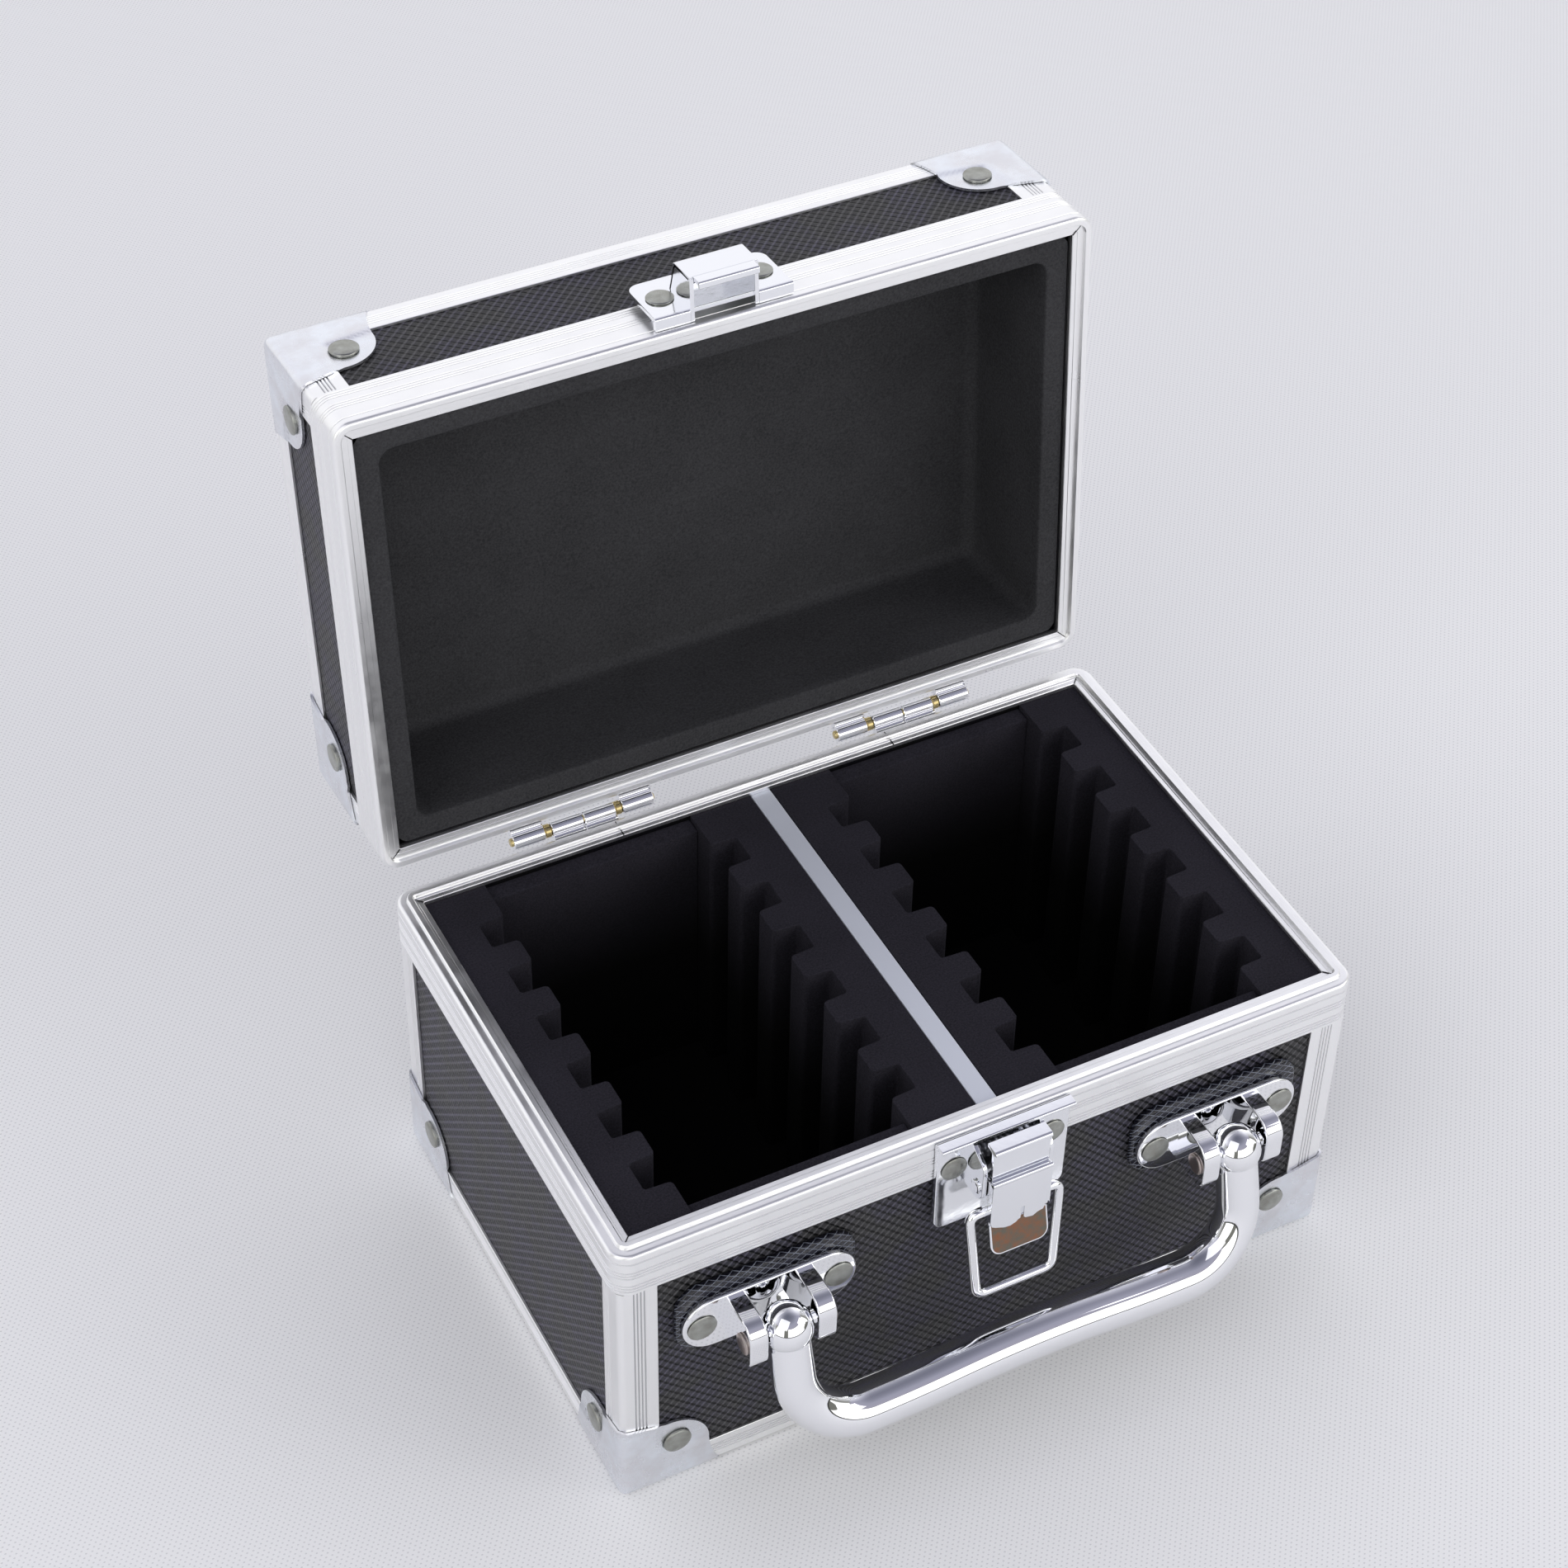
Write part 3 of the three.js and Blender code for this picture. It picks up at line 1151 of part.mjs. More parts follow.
// The raised box, seen from the side: outside, and the hollow that the hooked nose enters.
function catchBoxShape() {
  const foot = CATCH_FOOT;
  return outwards([
    [FIT, foot],
    [CATCH_WALL_OUT, foot],
    [CATCH_WALL_OUT, foot + CATCH_BOX_HEIGHT],
    [FIT, foot + CATCH_BOX_HEIGHT + CATCH_BOX_SLOPE],
  ]);
}

function catchHollowShape() {
  const foot = CATCH_FOOT;
  const wall = CATCH_BOX_WALL;
  return outwards([
    [0, foot - 1],
    [CATCH_WALL_IN, foot - 1],
    [CATCH_WALL_IN, foot + CATCH_BOX_HEIGHT - wall],
    [0, foot + CATCH_BOX_HEIGHT + CATCH_BOX_SLOPE - wall],
  ]);
}

// The front wall's foot, which reaches below the joint and turns in under the nose's hook.
function catchLipShape() {
  const foot = BASE_HEIGHT + NOSE_ABOVE_RIM - NOSE_THICKNESS - RUNNING_GAP - CATCH_LIP_HEIGHT;
  const lipIn = HOOK_OUT - HOOK_BITE / 2;
  return outwards([
    [lipIn, foot],
    [CATCH_WALL_OUT, foot],
    [CATCH_WALL_OUT, CATCH_FOOT + CATCH_LIP_LAP],
    [CATCH_WALL_IN, CATCH_FOOT + CATCH_LIP_LAP],
    [CATCH_WALL_IN, foot + CATCH_LIP_HEIGHT],
    [lipIn, foot + CATCH_LIP_HEIGHT],
  ]);
}

// The keeper's plate stands off the lid on its turned-back feet, its box and its rivets' barrels.
function catchGeometry() {
  const plateFront = FRONT_Y - CATCH_FRONT_OUT;
  const plateBack = FRONT_Y - CATCH_STAND_OFF;
  const seat = FRONT_Y - FIT;
  const inner = NOSE_WIDTH / 2 + RUNNING_GAP;
  const outer = inner + CATCH_BOX_WALL;
  const half = CATCH_WIDTH / 2;
  const footTop = CATCH_FOOT + CATCH_THICKNESS;
  const turnedFoot = (x0, x1) => block(x0, x1, plateFront, seat, CATCH_FOOT, footTop);
  const pieces = [
    prismAlongY(catchPlateShape(), plateFront, plateBack),
    prismAlongX(catchBoxShape(), -outer, outer),
    turnedFoot(-half, -outer),
    turnedFoot(outer, half),
  ];
  for (const sign of [-1, 1]) {
    const x = (sign * CATCH_RIVET_SPACING) / 2;
    const z = CATCH_FOOT + CATCH_RIVET_HEIGHT;
    const barrel = circleShape(CATCH_RIVET_BARREL_RADIUS, RIVET_SIDES);
    pieces.push(rivetFacingFront(FITTING_RIVET_RADIUS, x, plateFront, z));
    pieces.push(prismAlongY(barrel, plateBack - CATCH_THICKNESS / 2, seat).translate(x, 0, z));
  }
  const hollow = prismAlongX(catchHollowShape(), -inner, inner);
  const lip = prismAlongX(catchLipShape(), -inner, inner);
  return geometryOf(cutBy(joined(...pieces), hollow).add(solidOf(lip)));
}

// Hinges, centred on X = 0 and drawn closed. The lid's leaf is the base's leaf turned over.

const KNUCKLE_LENGTH = (HINGE_LENGTH - 2 * KNUCKLE_GAP - KNUCKLE_SEAM) / 4;
const INNER_KNUCKLE = KNUCKLE_SEAM / 2;
const OUTER_KNUCKLE = INNER_KNUCKLE + KNUCKLE_LENGTH + KNUCKLE_GAP;

// A leaf below the axis, with knuckles that start at the given distance each side of the middle.
function hingeLeafGeometry(knuckleStart) {
  const half = HINGE_LENGTH / 2;
  const leafFront = BACK_Y + FIT;
  const leafBack = leafFront + HINGE_LEAF_THICKNESS;
  const shoulder = HINGE_Z - KNUCKLE_RADIUS - KNUCKLE_CLEARANCE;
  let solid = solidOf(block(-half, half, leafFront, leafBack, HINGE_Z - HINGE_LEAF_HEIGHT, shoulder));
  for (const sign of [-1, 1]) {
    const x0 = sign > 0 ? knuckleStart : -knuckleStart - KNUCKLE_LENGTH;
    const x1 = x0 + KNUCKLE_LENGTH;
    const curl = outwardsFromBack([
      [FIT, shoulder - 1],
      [FIT + HINGE_LEAF_THICKNESS, shoulder - 1],
      [HINGE_AXIS_BEHIND, HINGE_Z - KNUCKLE_RADIUS],
      [HINGE_AXIS_BEHIND, HINGE_Z - KNUCKLE_RADIUS / 2],
      [FIT, HINGE_Z - KNUCKLE_CLEARANCE],
    ]);
    solid = solid.add(solidOf(prismAlongX(curl, x0, x1)));
    solid = solid.add(solidOf(rodAlongX(KNUCKLE_RADIUS, x0, x1, HINGE_Y, HINGE_Z)));
    const rivetX = (sign * HINGE_RIVET_SPACING) / 2;
    const rivet = rivetFacingBack(HINGE_RIVET_RADIUS, rivetX, leafBack, HINGE_Z - HINGE_RIVET_DROP);
    solid = solid.add(solidOf(rivet));
  }
  const bore = rodAlongX(HINGE_PIN_RADIUS + RUNNING_GAP, -half - 1, half + 1, HINGE_Y, HINGE_Z);
  return geometryOf(cutBy(solid, bore));
}

function outwardsFromBack(points) {
  return polygon(points.map(([out, z]) => [BACK_Y + out, z]));
}

// The pin, with a collar in each gap between a lid knuckle and a base knuckle.
function hingePinGeometry() {
  const end = HINGE_LENGTH / 2 + HINGE_PIN_HEAD;
  const pieces = [rodAlongX(HINGE_PIN_RADIUS, -end, end, HINGE_Y, HINGE_Z)];
  const collarStart = INNER_KNUCKLE + KNUCKLE_LENGTH + FIT;
  const collarEnd = OUTER_KNUCKLE - FIT;
  pieces.push(rodAlongX(HINGE_COLLAR_RADIUS, collarStart, collarEnd, HINGE_Y, HINGE_Z));
  pieces.push(rodAlongX(HINGE_COLLAR_RADIUS, -collarEnd, -collarStart, HINGE_Y, HINGE_Z));
  return geometryOf(joined(...pieces));
}

function addHinges(base, lid) {
  const baseLeaf = hingeLeafGeometry(INNER_KNUCKLE);
  const lidLeaf = hingeLeafGeometry(OUTER_KNUCKLE);
  const pin = hingePinGeometry();
  for (const [side, sign] of [["left", -1], ["right", 1]]) {
    const x = (sign * HINGE_SPACING) / 2;
    const baseMesh = named(`hinge_${side}_base_leaf`, baseLeaf, chrome);
    baseMesh.position.x = x;
    const pinMesh = named(`hinge_${side}_pin`, pin, brass);
    pinMesh.position.x = x;
    base.add(baseMesh, pinMesh);
    const lidMesh = named(`hinge_${side}_lid_leaf`, lidLeaf, chrome);
    lidMesh.scale.z = -1;
    lidMesh.position.set(x, 0, 2 * HINGE_Z);
    lid.add(lidMesh);
  }
}

// Lid lining: a thin padded tray that follows the lid's walls and ceiling.
function liningGeometry() {
  const x = ROOM_X;
  const y = ROOM_Y;
  const wall = LINING_THICKNESS;
  const ceiling = LID_TOP - FLOOR_LEVEL - FIT;
  const mouth = LID_RIM + LINING_BELOW_RIM;
  const hollow = block(-x + wall, x - wall, -y + wall, y - wall, mouth - 1, ceiling - wall);
  return geometryOf(cutBy(solidOf(block(-x, x, -y, y, mouth, ceiling)), hollow));
}

function buildLid() {
  const closed = new THREE.Group();
  const shell = buildShell("lid", LID_HEIGHT, LID_BAND, lidRimProfile);
  shell.position.z = LID_TOP;
  shell.scale.z = -1;
  closed.add(shell);
  closed.add(named("lid_lining", liningGeometry(), lining));
  closed.add(named("lid_catch", catchGeometry(), chrome));
  return closed;
}

const base = new THREE.Group();
base.add(buildShell("base", BASE_HEIGHT, BASE_BAND, baseRimProfile));
base.add(buildFoam());
base.add(buildHandle());
base.add(buildLatch());

const lid = buildLid();
lid.position.set(0, -HINGE_Y, -HINGE_Z);
const openLid = new THREE.Group();
openLid.position.set(0, HINGE_Y, HINGE_Z);
openLid.rotation.x = -OPEN_ANGLE * DEGREE;
openLid.add(lid);
addHinges(base, lid);

const group = new THREE.Group();
group.add(base, openLid);

export default group;
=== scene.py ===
# Coin storage case: the looks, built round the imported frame. Sizes are in millimetres until a
# form is finished, and the lid's pieces are drawn shut and then turned open with the lid.
import json
from math import cos, pi, radians, sin, tau

import bmesh
import bpy
from mathutils import Matrix, Vector, noise


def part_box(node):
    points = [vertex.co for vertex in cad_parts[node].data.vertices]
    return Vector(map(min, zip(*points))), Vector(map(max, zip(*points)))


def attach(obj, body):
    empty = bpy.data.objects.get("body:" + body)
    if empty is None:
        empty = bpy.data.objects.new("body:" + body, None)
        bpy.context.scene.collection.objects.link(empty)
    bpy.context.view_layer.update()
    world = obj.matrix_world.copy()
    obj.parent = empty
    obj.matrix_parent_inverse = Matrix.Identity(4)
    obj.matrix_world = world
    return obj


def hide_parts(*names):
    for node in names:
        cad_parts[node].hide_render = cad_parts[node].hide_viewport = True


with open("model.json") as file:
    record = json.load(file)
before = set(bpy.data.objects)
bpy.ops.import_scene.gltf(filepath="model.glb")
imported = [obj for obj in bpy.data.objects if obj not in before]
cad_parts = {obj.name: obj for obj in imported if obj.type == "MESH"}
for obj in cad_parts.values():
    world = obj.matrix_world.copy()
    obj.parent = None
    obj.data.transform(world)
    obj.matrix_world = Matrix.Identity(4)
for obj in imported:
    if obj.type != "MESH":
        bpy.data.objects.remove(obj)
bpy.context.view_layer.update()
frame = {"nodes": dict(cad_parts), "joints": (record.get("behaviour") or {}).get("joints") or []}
MM = 0.001


# Sizes read from the frame

def low(node, axis):
    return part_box(node)[0][axis] / MM


def high(node, axis):
    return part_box(node)[1][axis] / MM


JOINTS = {joint["name"]: joint for joint in frame["joints"]}


def pivot(name):
    return [value / MM for value in JOINTS[name]["pos_m"]]


HALF_WIDTH = high("base_closure_rim", 0)
HALF_DEPTH = high("base_closure_rim", 1)
TONGUE_HEIGHT = 0.9
BASE_HEIGHT = high("base_closure_rim", 2) - TONGUE_HEIGHT
RIM_GAP = 0.5
LID_HEIGHT = 41
LID_RIM = BASE_HEIGHT + RIM_GAP
LID_TOP = LID_RIM + LID_HEIGHT
FRONT = -HALF_DEPTH
BACK = HALF_DEPTH
OPEN_ANGLE = JOINTS["lid_hinge"]["range_deg"][1]
HINGE_Y, HINGE_Z = pivot("lid_hinge")[1:]
OPEN = (
    Matrix.Translation((0, HINGE_Y, HINGE_Z))
    @ Matrix.Rotation(radians(-OPEN_ANGLE), 4, "X")
    @ Matrix.Translation((0, -HINGE_Y, -HINGE_Z))
)

# Layers, measured inwards from the outer face of the rims
ANGLE_DEPTH = 0.8
ANGLE_THICKNESS = 0.6
ANGLE_ROUND = 1.4
PANEL_DEPTH = 1.5
INNER_DEPTH = 5
BRACKET_DEPTH = 0.1
FRAME_LEVEL = 0.7

# Aluminium
BASE_BAND = 12
LID_BAND = 13.4
RIM_ROUND = 4.6
RIM_EDGE = 0.9
LIP_THICKNESS = 1.2
BASE_LIP = 5.6
LID_LIP = 4.7
LID_LIP_DROP = 0.85
TONGUE_START = 2.1
TONGUE_WIDTH = 1.8
GROOVE_DEPTH = 0.2
GROOVE_WIDTH = 0.42
RIM_GROOVES = 0.85
ANGLE_GROOVES = 0.8
HINGE_SEAM = 35
SEAM_WIDTH = 0.22
SEAM_DEPTH = 0.3
EXTRUSION_CREASE = 28
POST_FRONT = 9
POST_SIDE = 7.8
FRAME_FACE = 6.9
FRAME_UNDER = 9

# Corner brackets and rivets
BRACKET_SHEET = 0.6
BRACKET_LENGTH = 24
BRACKET_HEIGHT = 22.7
BRACKET_ROUND = 2.0
SHOULDER = (7.5, 20.8)
LOBE = (11.6, 9.8)
LOBE_RADIUS = 9.9
LOBE_START = -8
LOBE_END = 92
RIVET_PLACE = (13.7, 13.2)
POCKET_DEPTH = 0.5
BRACKET_RIVET = 3.3
FITTING_RIVET = 3.1


# Joining points into forms

# Edges that bend by more than this many degrees are rounded, and shaded as edges
CREASE = 33
QUARTERS = ((1, 1), (-1, 1), (-1, -1), (1, -1))
ACROSS = (1, 0, 0)
FORWARD = (0, -1, 0)
UPSIDE_DOWN = Matrix.Scale(-1, 4, (0, 0, 1))


class Form:
    """One shown piece while it is put together, in millimetres."""

    def __init__(self):
        self.mesh = bmesh.new()

    def loft(self, rings, material=0, path_closed=False, bevel=0.0, segments=2, floors=(), floor_material=0):
        """Skins rings that have the same number of points; some segments may have a material of their own."""
        mesh = self.mesh
        rows = [[mesh.verts.new(point) for point in ring] for ring in rings]
        faces = []
        count = len(rows[0])
        pairs = list(zip(rows, rows[1:])) + ([(rows[-1], rows[0])] if path_closed else [])
        for here, there in pairs:
            for i in range(count):
                j = (i + 1) % count
                faces.append(mesh.faces.new((here[i], here[j], there[j], there[i])))
        if not path_closed:
            faces.append(mesh.faces.new(reversed(rows[0])))
            faces.append(mesh.faces.new(rows[-1]))
        walls = len(pairs) * count
        for i, face in enumerate(faces):
            face.material_index = floor_material if i < walls and i % count in floors else material
        self.settle(faces, bevel, segments)

    def settle(self, faces, bevel, segments):
        """Turns the faces outwards and rounds their sharp edges."""
        mesh = self.mesh
        bmesh.ops.recalc_face_normals(mesh, faces=faces)
        if bevel:
            edges = {edge for face in faces for edge in face.edges}
            sharp = [e for e in edges if len(e.link_faces) == 2 and e.calc_face_angle() > radians(CREASE)]
            bmesh.ops.bevel(
                mesh, geom=sharp, offset=bevel, segments=segments, profile=0.5,
                affect="EDGES", clamp_overlap=True, material=-1,
            )

    def prism(self, outline, axis, start, end, **options):
        """Extrudes an outline drawn in the two other axes."""
        def place(point, level):
            a, b = point
            return {"x": (level, a, b), "y": (a, level, b), "z": (a, b, level)}[axis]

        self.loft([[place(p, level) for p in outline] for level in (start, end)], **options)

    def box(self, x, y, z, **options):
        outline = [(x[0], y[0]), (x[1], y[0]), (x[1], y[1]), (x[0], y[1])]
        self.prism(outline, "z", z[0], z[1], **options)

    def lathe(self, profile, centre, direction, sides=32, **options):
        """Turns (radius, height) pairs round a direction."""
        frame_of = Vector((0, 0, 1)).rotation_difference(Vector(direction)).to_matrix()
        rings = []
        for radius, height in profile:
            ring = []
            for i in range(sides):
                angle = tau * i / sides
                local = Vector((radius * cos(angle), radius * sin(angle), height))
                ring.append(Vector(centre) + frame_of @ local)
            rings.append(ring)
        self.loft(rings, **options)

    def tube(self, line, radius, sides=20, **options):
        """A round bar along a list of points; the radius may be a list."""
        points = [Vector(point) for point in line]
        radii = radius if isinstance(radius, list) else [radius] * len(points)
        normal = None
        rings = []
        for i, point in enumerate(points):
            ahead = points[min(i + 1, len(points) - 1)] - points[max(i - 1, 0)]
            ahead.normalize()
            if normal is None:
                normal = ahead.orthogonal().normalized()
            normal = (normal - ahead * normal.dot(ahead)).normalized()
            side = ahead.cross(normal)
            rings.append([
                point + (normal * cos(tau * k / sides) + side * sin(tau * k / sides)) * radii[i]
                for k in range(sides)
            ])
        self.loft(rings, **options)

    def rivet(self, radius, centre, direction, rise=0.7, material=0):
        """A low, nearly flat head over a thin dark gap."""
        neck, gap = radius - 0.35, 0.14
        profile = [(neck, -0.2), (neck, gap), (radius - 0.05, gap), (radius, gap + 0.06)]
        profile += [(radius, rise * 0.5), (radius - 0.14, rise * 0.72), (radius * 0.84, rise * 0.86)]
        profile += [(radius * 0.5, rise * 0.97), (0.02, rise)]
        self.lathe(profile, centre, direction, sides=36, material=material)

    def moved(self, matrix):
        bmesh.ops.transform(self.mesh, matrix=matrix, verts=self.mesh.verts)
        if matrix.determinant() < 0:
            bmesh.ops.reverse_faces(self.mesh, faces=self.mesh.faces)

    def finish(self, name, body, materials, slot, replaces=None, smooth=CREASE, weighted=True):
        """Makes the object, in metres, ties it to its body and hides the nodes it stands for."""
        if body == "lid":
            self.moved(OPEN)
        self.mesh.transform(Matrix.Scale(MM, 4))
        name = name.replace(" ", "_")
        replaces = replaces or [name]
        name += "_shown"
        data = bpy.data.meshes.new(name)
        self.mesh.to_mesh(data)
        self.mesh.free()
        data.shade_smooth()
        data.set_sharp_from_angle(angle=radians(smooth))
        for material in materials:
            data.materials.append(material)
        shown = bpy.data.objects.new(name, data)
        bpy.context.scene.collection.objects.link(shown)
        if weighted:
            modifier = shown.modifiers.new("weighted normals", "WEIGHTED_NORMAL")
            modifier.keep_sharp = True
        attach(shown, body)
        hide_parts(*replaces)


def arc(centre, radius, start, end, steps):
    """Points on an arc, angles in degrees."""
    return [
        (
            centre[0] + radius * cos(radians(start + (end - start) * i / steps)),
            centre[1] + radius * sin(radians(start + (end - start) * i / steps)),
        )
        for i in range(steps + 1)
    ]


def bezier(a, b, c, d, steps):
    """Points on a cubic curve, without its first point."""
    points = []
    for i in range(1, steps + 1):
        t = i / steps
        u = 1 - t
        points.append(a * u**3 + b * 3 * u * u * t + c * 3 * u * t * t + d * t**3)
    return points


def quadratic(a, b, c, steps):
    """Points on a curve from a to c that is drawn towards b."""
    return [a * (1 - t) ** 2 + b * 2 * t * (1 - t) + c * t * t for t in (i / steps for i in range(steps + 1))]


def stadium(length, height, steps=16):
    reach = (length - height) / 2
    return arc((reach, 0), height / 2, -90, 90, steps) + arc((-reach, 0), height / 2, 90, 270, steps)


def rounded_rectangle(half_a, half_b, radius, steps=8):
    outline = []
    for corner, (a, b) in enumerate(QUARTERS):
        centre = (a * (half_a - radius), b * (half_b - radius))
        outline += arc(centre, radius, corner * 90, corner * 90 + 90, steps)
    return outline


def smoothstep(low_edge, high_edge, value):
    t = max(0.0, min(1.0, (value - low_edge) / (high_edge - low_edge)))
    return t * t * (3 - 2 * t)


# Materials

def add_node(tree, kind, inputs=None, **settings):
    node = tree.nodes.new(kind)
    for key, value in settings.items():
        setattr(node, key, value)
    for key, value in (inputs or {}).items():
        socket = node.inputs[key]
        if isinstance(value, bpy.types.NodeSocket):
            tree.links.new(value, socket)
        else:
            socket.default_value = value
    return node


def calculate(tree, operation, a, b=0.0):
    return add_node(tree, "ShaderNodeMath", {0: a, 1: b}, operation=operation).outputs[0]


def new_material(name, colour, metallic, roughness):
    material = bpy.data.materials.new(name)
    material.use_nodes = True
    tree = material.node_tree
    shader = tree.nodes["Principled BSDF"]
    shader.inputs["Base Color"].default_value = (*colour, 1)
    shader.inputs["Metallic"].default_value = metallic
    shader.inputs["Roughness"].default_value = roughness
    return material, tree, shader


def place_of(tree, turned=False):
    """Object coordinates in millimetres; a turned piece gets those of the shut lid."""
    coordinate = add_node(tree, "ShaderNodeTexCoord").outputs["Object"]
    turn, shift = (radians(OPEN_ANGLE), OPEN.inverted().translation) if turned else (0, (0, 0, 0))
    inputs = {"Vector": coordinate, "Location": shift, "Rotation": (turn, 0, 0), "Scale": (1000, 1000, 1000)}
    return add_node(tree, "ShaderNodeMapping", inputs).outputs[0]


def noise_of(tree, vector, scale, detail=2.0, rough=0.5):
    return add_node(
        tree, "ShaderNodeTexNoise", {"Vector": vector, "Scale": scale, "Detail": detail, "Roughness": rough}
    ).outputs[0]


def ranged(tree, value, low_in, high_in, low_out, high_out):
    return add_node(
        tree, "ShaderNodeMapRange", {0: value, 1: low_in, 2: high_in, 3: low_out, 4: high_out}
    ).outputs[0]


def mixed(tree, share, first, second, **settings):
    """A blend of two colours, each of which may come from a node."""
    inputs = {0: share, 6: first, 7: second}
    return add_node(tree, "ShaderNodeMix", inputs, data_type="RGBA", **settings).outputs[2]


def tinted(tree, share, first, second):
    """A colour between two fixed ones."""
    return mixed(tree, share, (*first, 1), (*second, 1))


def bumped(tree, shader, height, distance):
    """Raises the surface by up to a distance in millimetres."""
    bump = add_node(tree, "ShaderNodeBump", {"Height": height, "Distance": distance * MM, "Strength": 1.0})
    tree.links.new(bump.outputs[0], shader.inputs["Normal"])


def metal(name, colour, roughness, smudge=0.06, mottle=0.0, grain=0.0, second=None, pitch=2.4):
    """Metal with faint handling marks, and a tint that drifts between two colours."""
    material, tree, shader = new_material(name, colour, 1.0, roughness)
    place = place_of(tree)
    marks = noise_of(tree, place, 0.12, 4.0, 0.6)
    rough = ranged(tree, marks, 0.3, 0.75, roughness - smudge / 2, roughness + smudge)
    tree.links.new(rough, shader.inputs["Roughness"])
    if second:
        drift = ranged(tree, noise_of(tree, place, mottle, 3.0, 0.6), 0.35, 0.65, 0.0, 1.0)
        tree.links.new(tinted(tree, drift, colour, second), shader.inputs["Base Color"])
    if grain:
        bumped(tree, shader, noise_of(tree, place, pitch, 3.0, 0.6), grain)
    return material


# Width of the lozenges in the laminate and of the net on the handle's pads
LAMINATE_DIAMOND = 2.5
PAD_DIAMOND = 2.8
# Near black used for the painted shade low in the foam
SLOT_SHADE_BLACK = (0.002, 0.002, 0.002)


def lattice(tree, a, b, period):
    """Triangle waves along the two diagonals, each 1 midway and 0 on its lines."""
    waves = []
    for operation in ("ADD", "SUBTRACT"):
        line = calculate(tree, "MULTIPLY", calculate(tree, operation, a, b), 1 / period)
        waves.append(calculate(tree, "MULTIPLY", calculate(tree, "PINGPONG", line, 0.5), 2.0))
    return waves


def laminate(name, first_axis, second_axis, turned, lean=1.0, cut_share=0.9, skin=0.0):
    """Black laminate with slanting twill lines cut into lozenges; faces nearer than the skin are plain. Its
    colour follows the relief: raised lines are painted lighter as painted highlight, cuts darker as painted
    shade.
    """
    material, tree, shader = new_material(name, (0.022, 0.021, 0.03), 0.0, 0.34)
    place = add_node(tree, "ShaderNodeSeparateXYZ", {0: place_of(tree, turned)})
    a, b = place.outputs[first_axis], place.outputs[second_axis]
    rise, fall = lattice(tree, a, calculate(tree, "MULTIPLY", b, lean), LAMINATE_DIAMOND)
    ridge = ranged(tree, fall, 0.0, 0.5, 1.0, 0.0)
    cut = ranged(tree, rise, 0.0, 0.45, 1.0, 0.0)
    grain = noise_of(tree, place_of(tree, turned), 1.6, 3.0, 0.7)
    drift = noise_of(tree, place_of(tree, turned), 0.09, 2.0, 0.5)
    height = calculate(tree, "SUBTRACT", ridge, calculate(tree, "MULTIPLY", cut, cut_share))
    height = calculate(tree, "ADD", height, calculate(tree, "MULTIPLY", grain, 0.9))
    reach = calculate(tree, "ABSOLUTE", place.outputs[3 - first_axis - second_axis])
    height = calculate(tree, "MULTIPLY", height, ranged(tree, reach, skin - 0.1, skin, 0.0, 1.0))
    bumped(tree, shader, height, 0.24)
    # Colour taken from the relief height: painted highlight on the raised lines, painted shade in the cuts
    tone = ranged(tree, height, 0.1, 1.5, 0.0, 1.0)
    navy_painted_relief = tinted(tree, tone, (0.002, 0.002, 0.004), (0.12, 0.114, 0.165))
    olive_painted_relief = tinted(tree, tone, (0.003, 0.003, 0.003), (0.11, 0.109, 0.107))
    colour = mixed(tree, ranged(tree, drift, 0.42, 0.58, 0.15, 0.85), navy_painted_relief, olive_painted_relief)
    tree.links.new(colour, shader.inputs["Base Color"])
    tree.links.new(ranged(tree, grain, 0.3, 0.7, 0.34, 0.55), shader.inputs["Roughness"])
    shader.inputs["Specular IOR Level"].default_value = 0.25
    return material


def cellular(name, dark, light, grain, bump_height, fade=None):
    """Closed-cell foam: matt, with a fine grain and faint patches; if asked, painted darker down to black
    towards the bottom, as painted shade deep in the slots.
    """
    material, tree, shader = new_material(name, light, 0.0, 0.93)
    place = place_of(tree)
    fine = noise_of(tree, place, grain, 3.0, 0.75)
    patches = noise_of(tree, place, 0.05, 2.0, 0.5)
    fine_share, patch_share = (calculate(tree, "MULTIPLY", *part) for part in ((fine, 0.8), (patches, 0.2)))
    tone = calculate(tree, "ADD", fine_share, patch_share)
    colour = tinted(tree, ranged(tree, tone, 0.35, 0.65, 0.0, 1.0), dark, light)
    # Painted shade: below the fade band the colour goes to black
    if fade:
        level = add_node(tree, "ShaderNodeSeparateXYZ", {0: place}).outputs[2]
        colour = mixed(tree, ranged(tree, level, *fade, 1.0, 0.0), colour, (*SLOT_SHADE_BLACK, 1))
    tree.links.new(colour, shader.inputs["Base Color"])
    shader.inputs["Specular IOR Level"].default_value = 0.12
    bumped(tree, shader, fine, bump_height)
    return material


def embossed_pad():
    """Glossy black backing pad with a fine raised net, whose lines are also painted pale as painted
    highlight.
    """
    material, tree, shader = new_material("backing pad", (0.012, 0.012, 0.015), 0.0, 0.16)
    place = add_node(tree, "ShaderNodeSeparateXYZ", {0: place_of(tree)})
    a, b = place.outputs[0], calculate(tree, "MULTIPLY", calculate(tree, "ADD", *place.outputs[1:]), 1.5)
    rise, fall = lattice(tree, a, b, PAD_DIAMOND)
    net = ranged(tree, calculate(tree, "MINIMUM", rise, fall), 0.04, 0.2, 1.0, 0.0)
    wear = noise_of(tree, place_of(tree), 0.5, 3.0, 0.6)
    net = calculate(tree, "MULTIPLY", net, ranged(tree, wear, 0.35, 0.6, 0.3, 1.0))
    bumped(tree, shader, net, 0.08)
    # The net's lines are painted pale blue-grey: painted highlight on the raised net
    tree.links.new(tinted(tree, net, (0.005, 0.005, 0.01), (0.22, 0.24, 0.3)), shader.inputs["Base Color"])
    return material


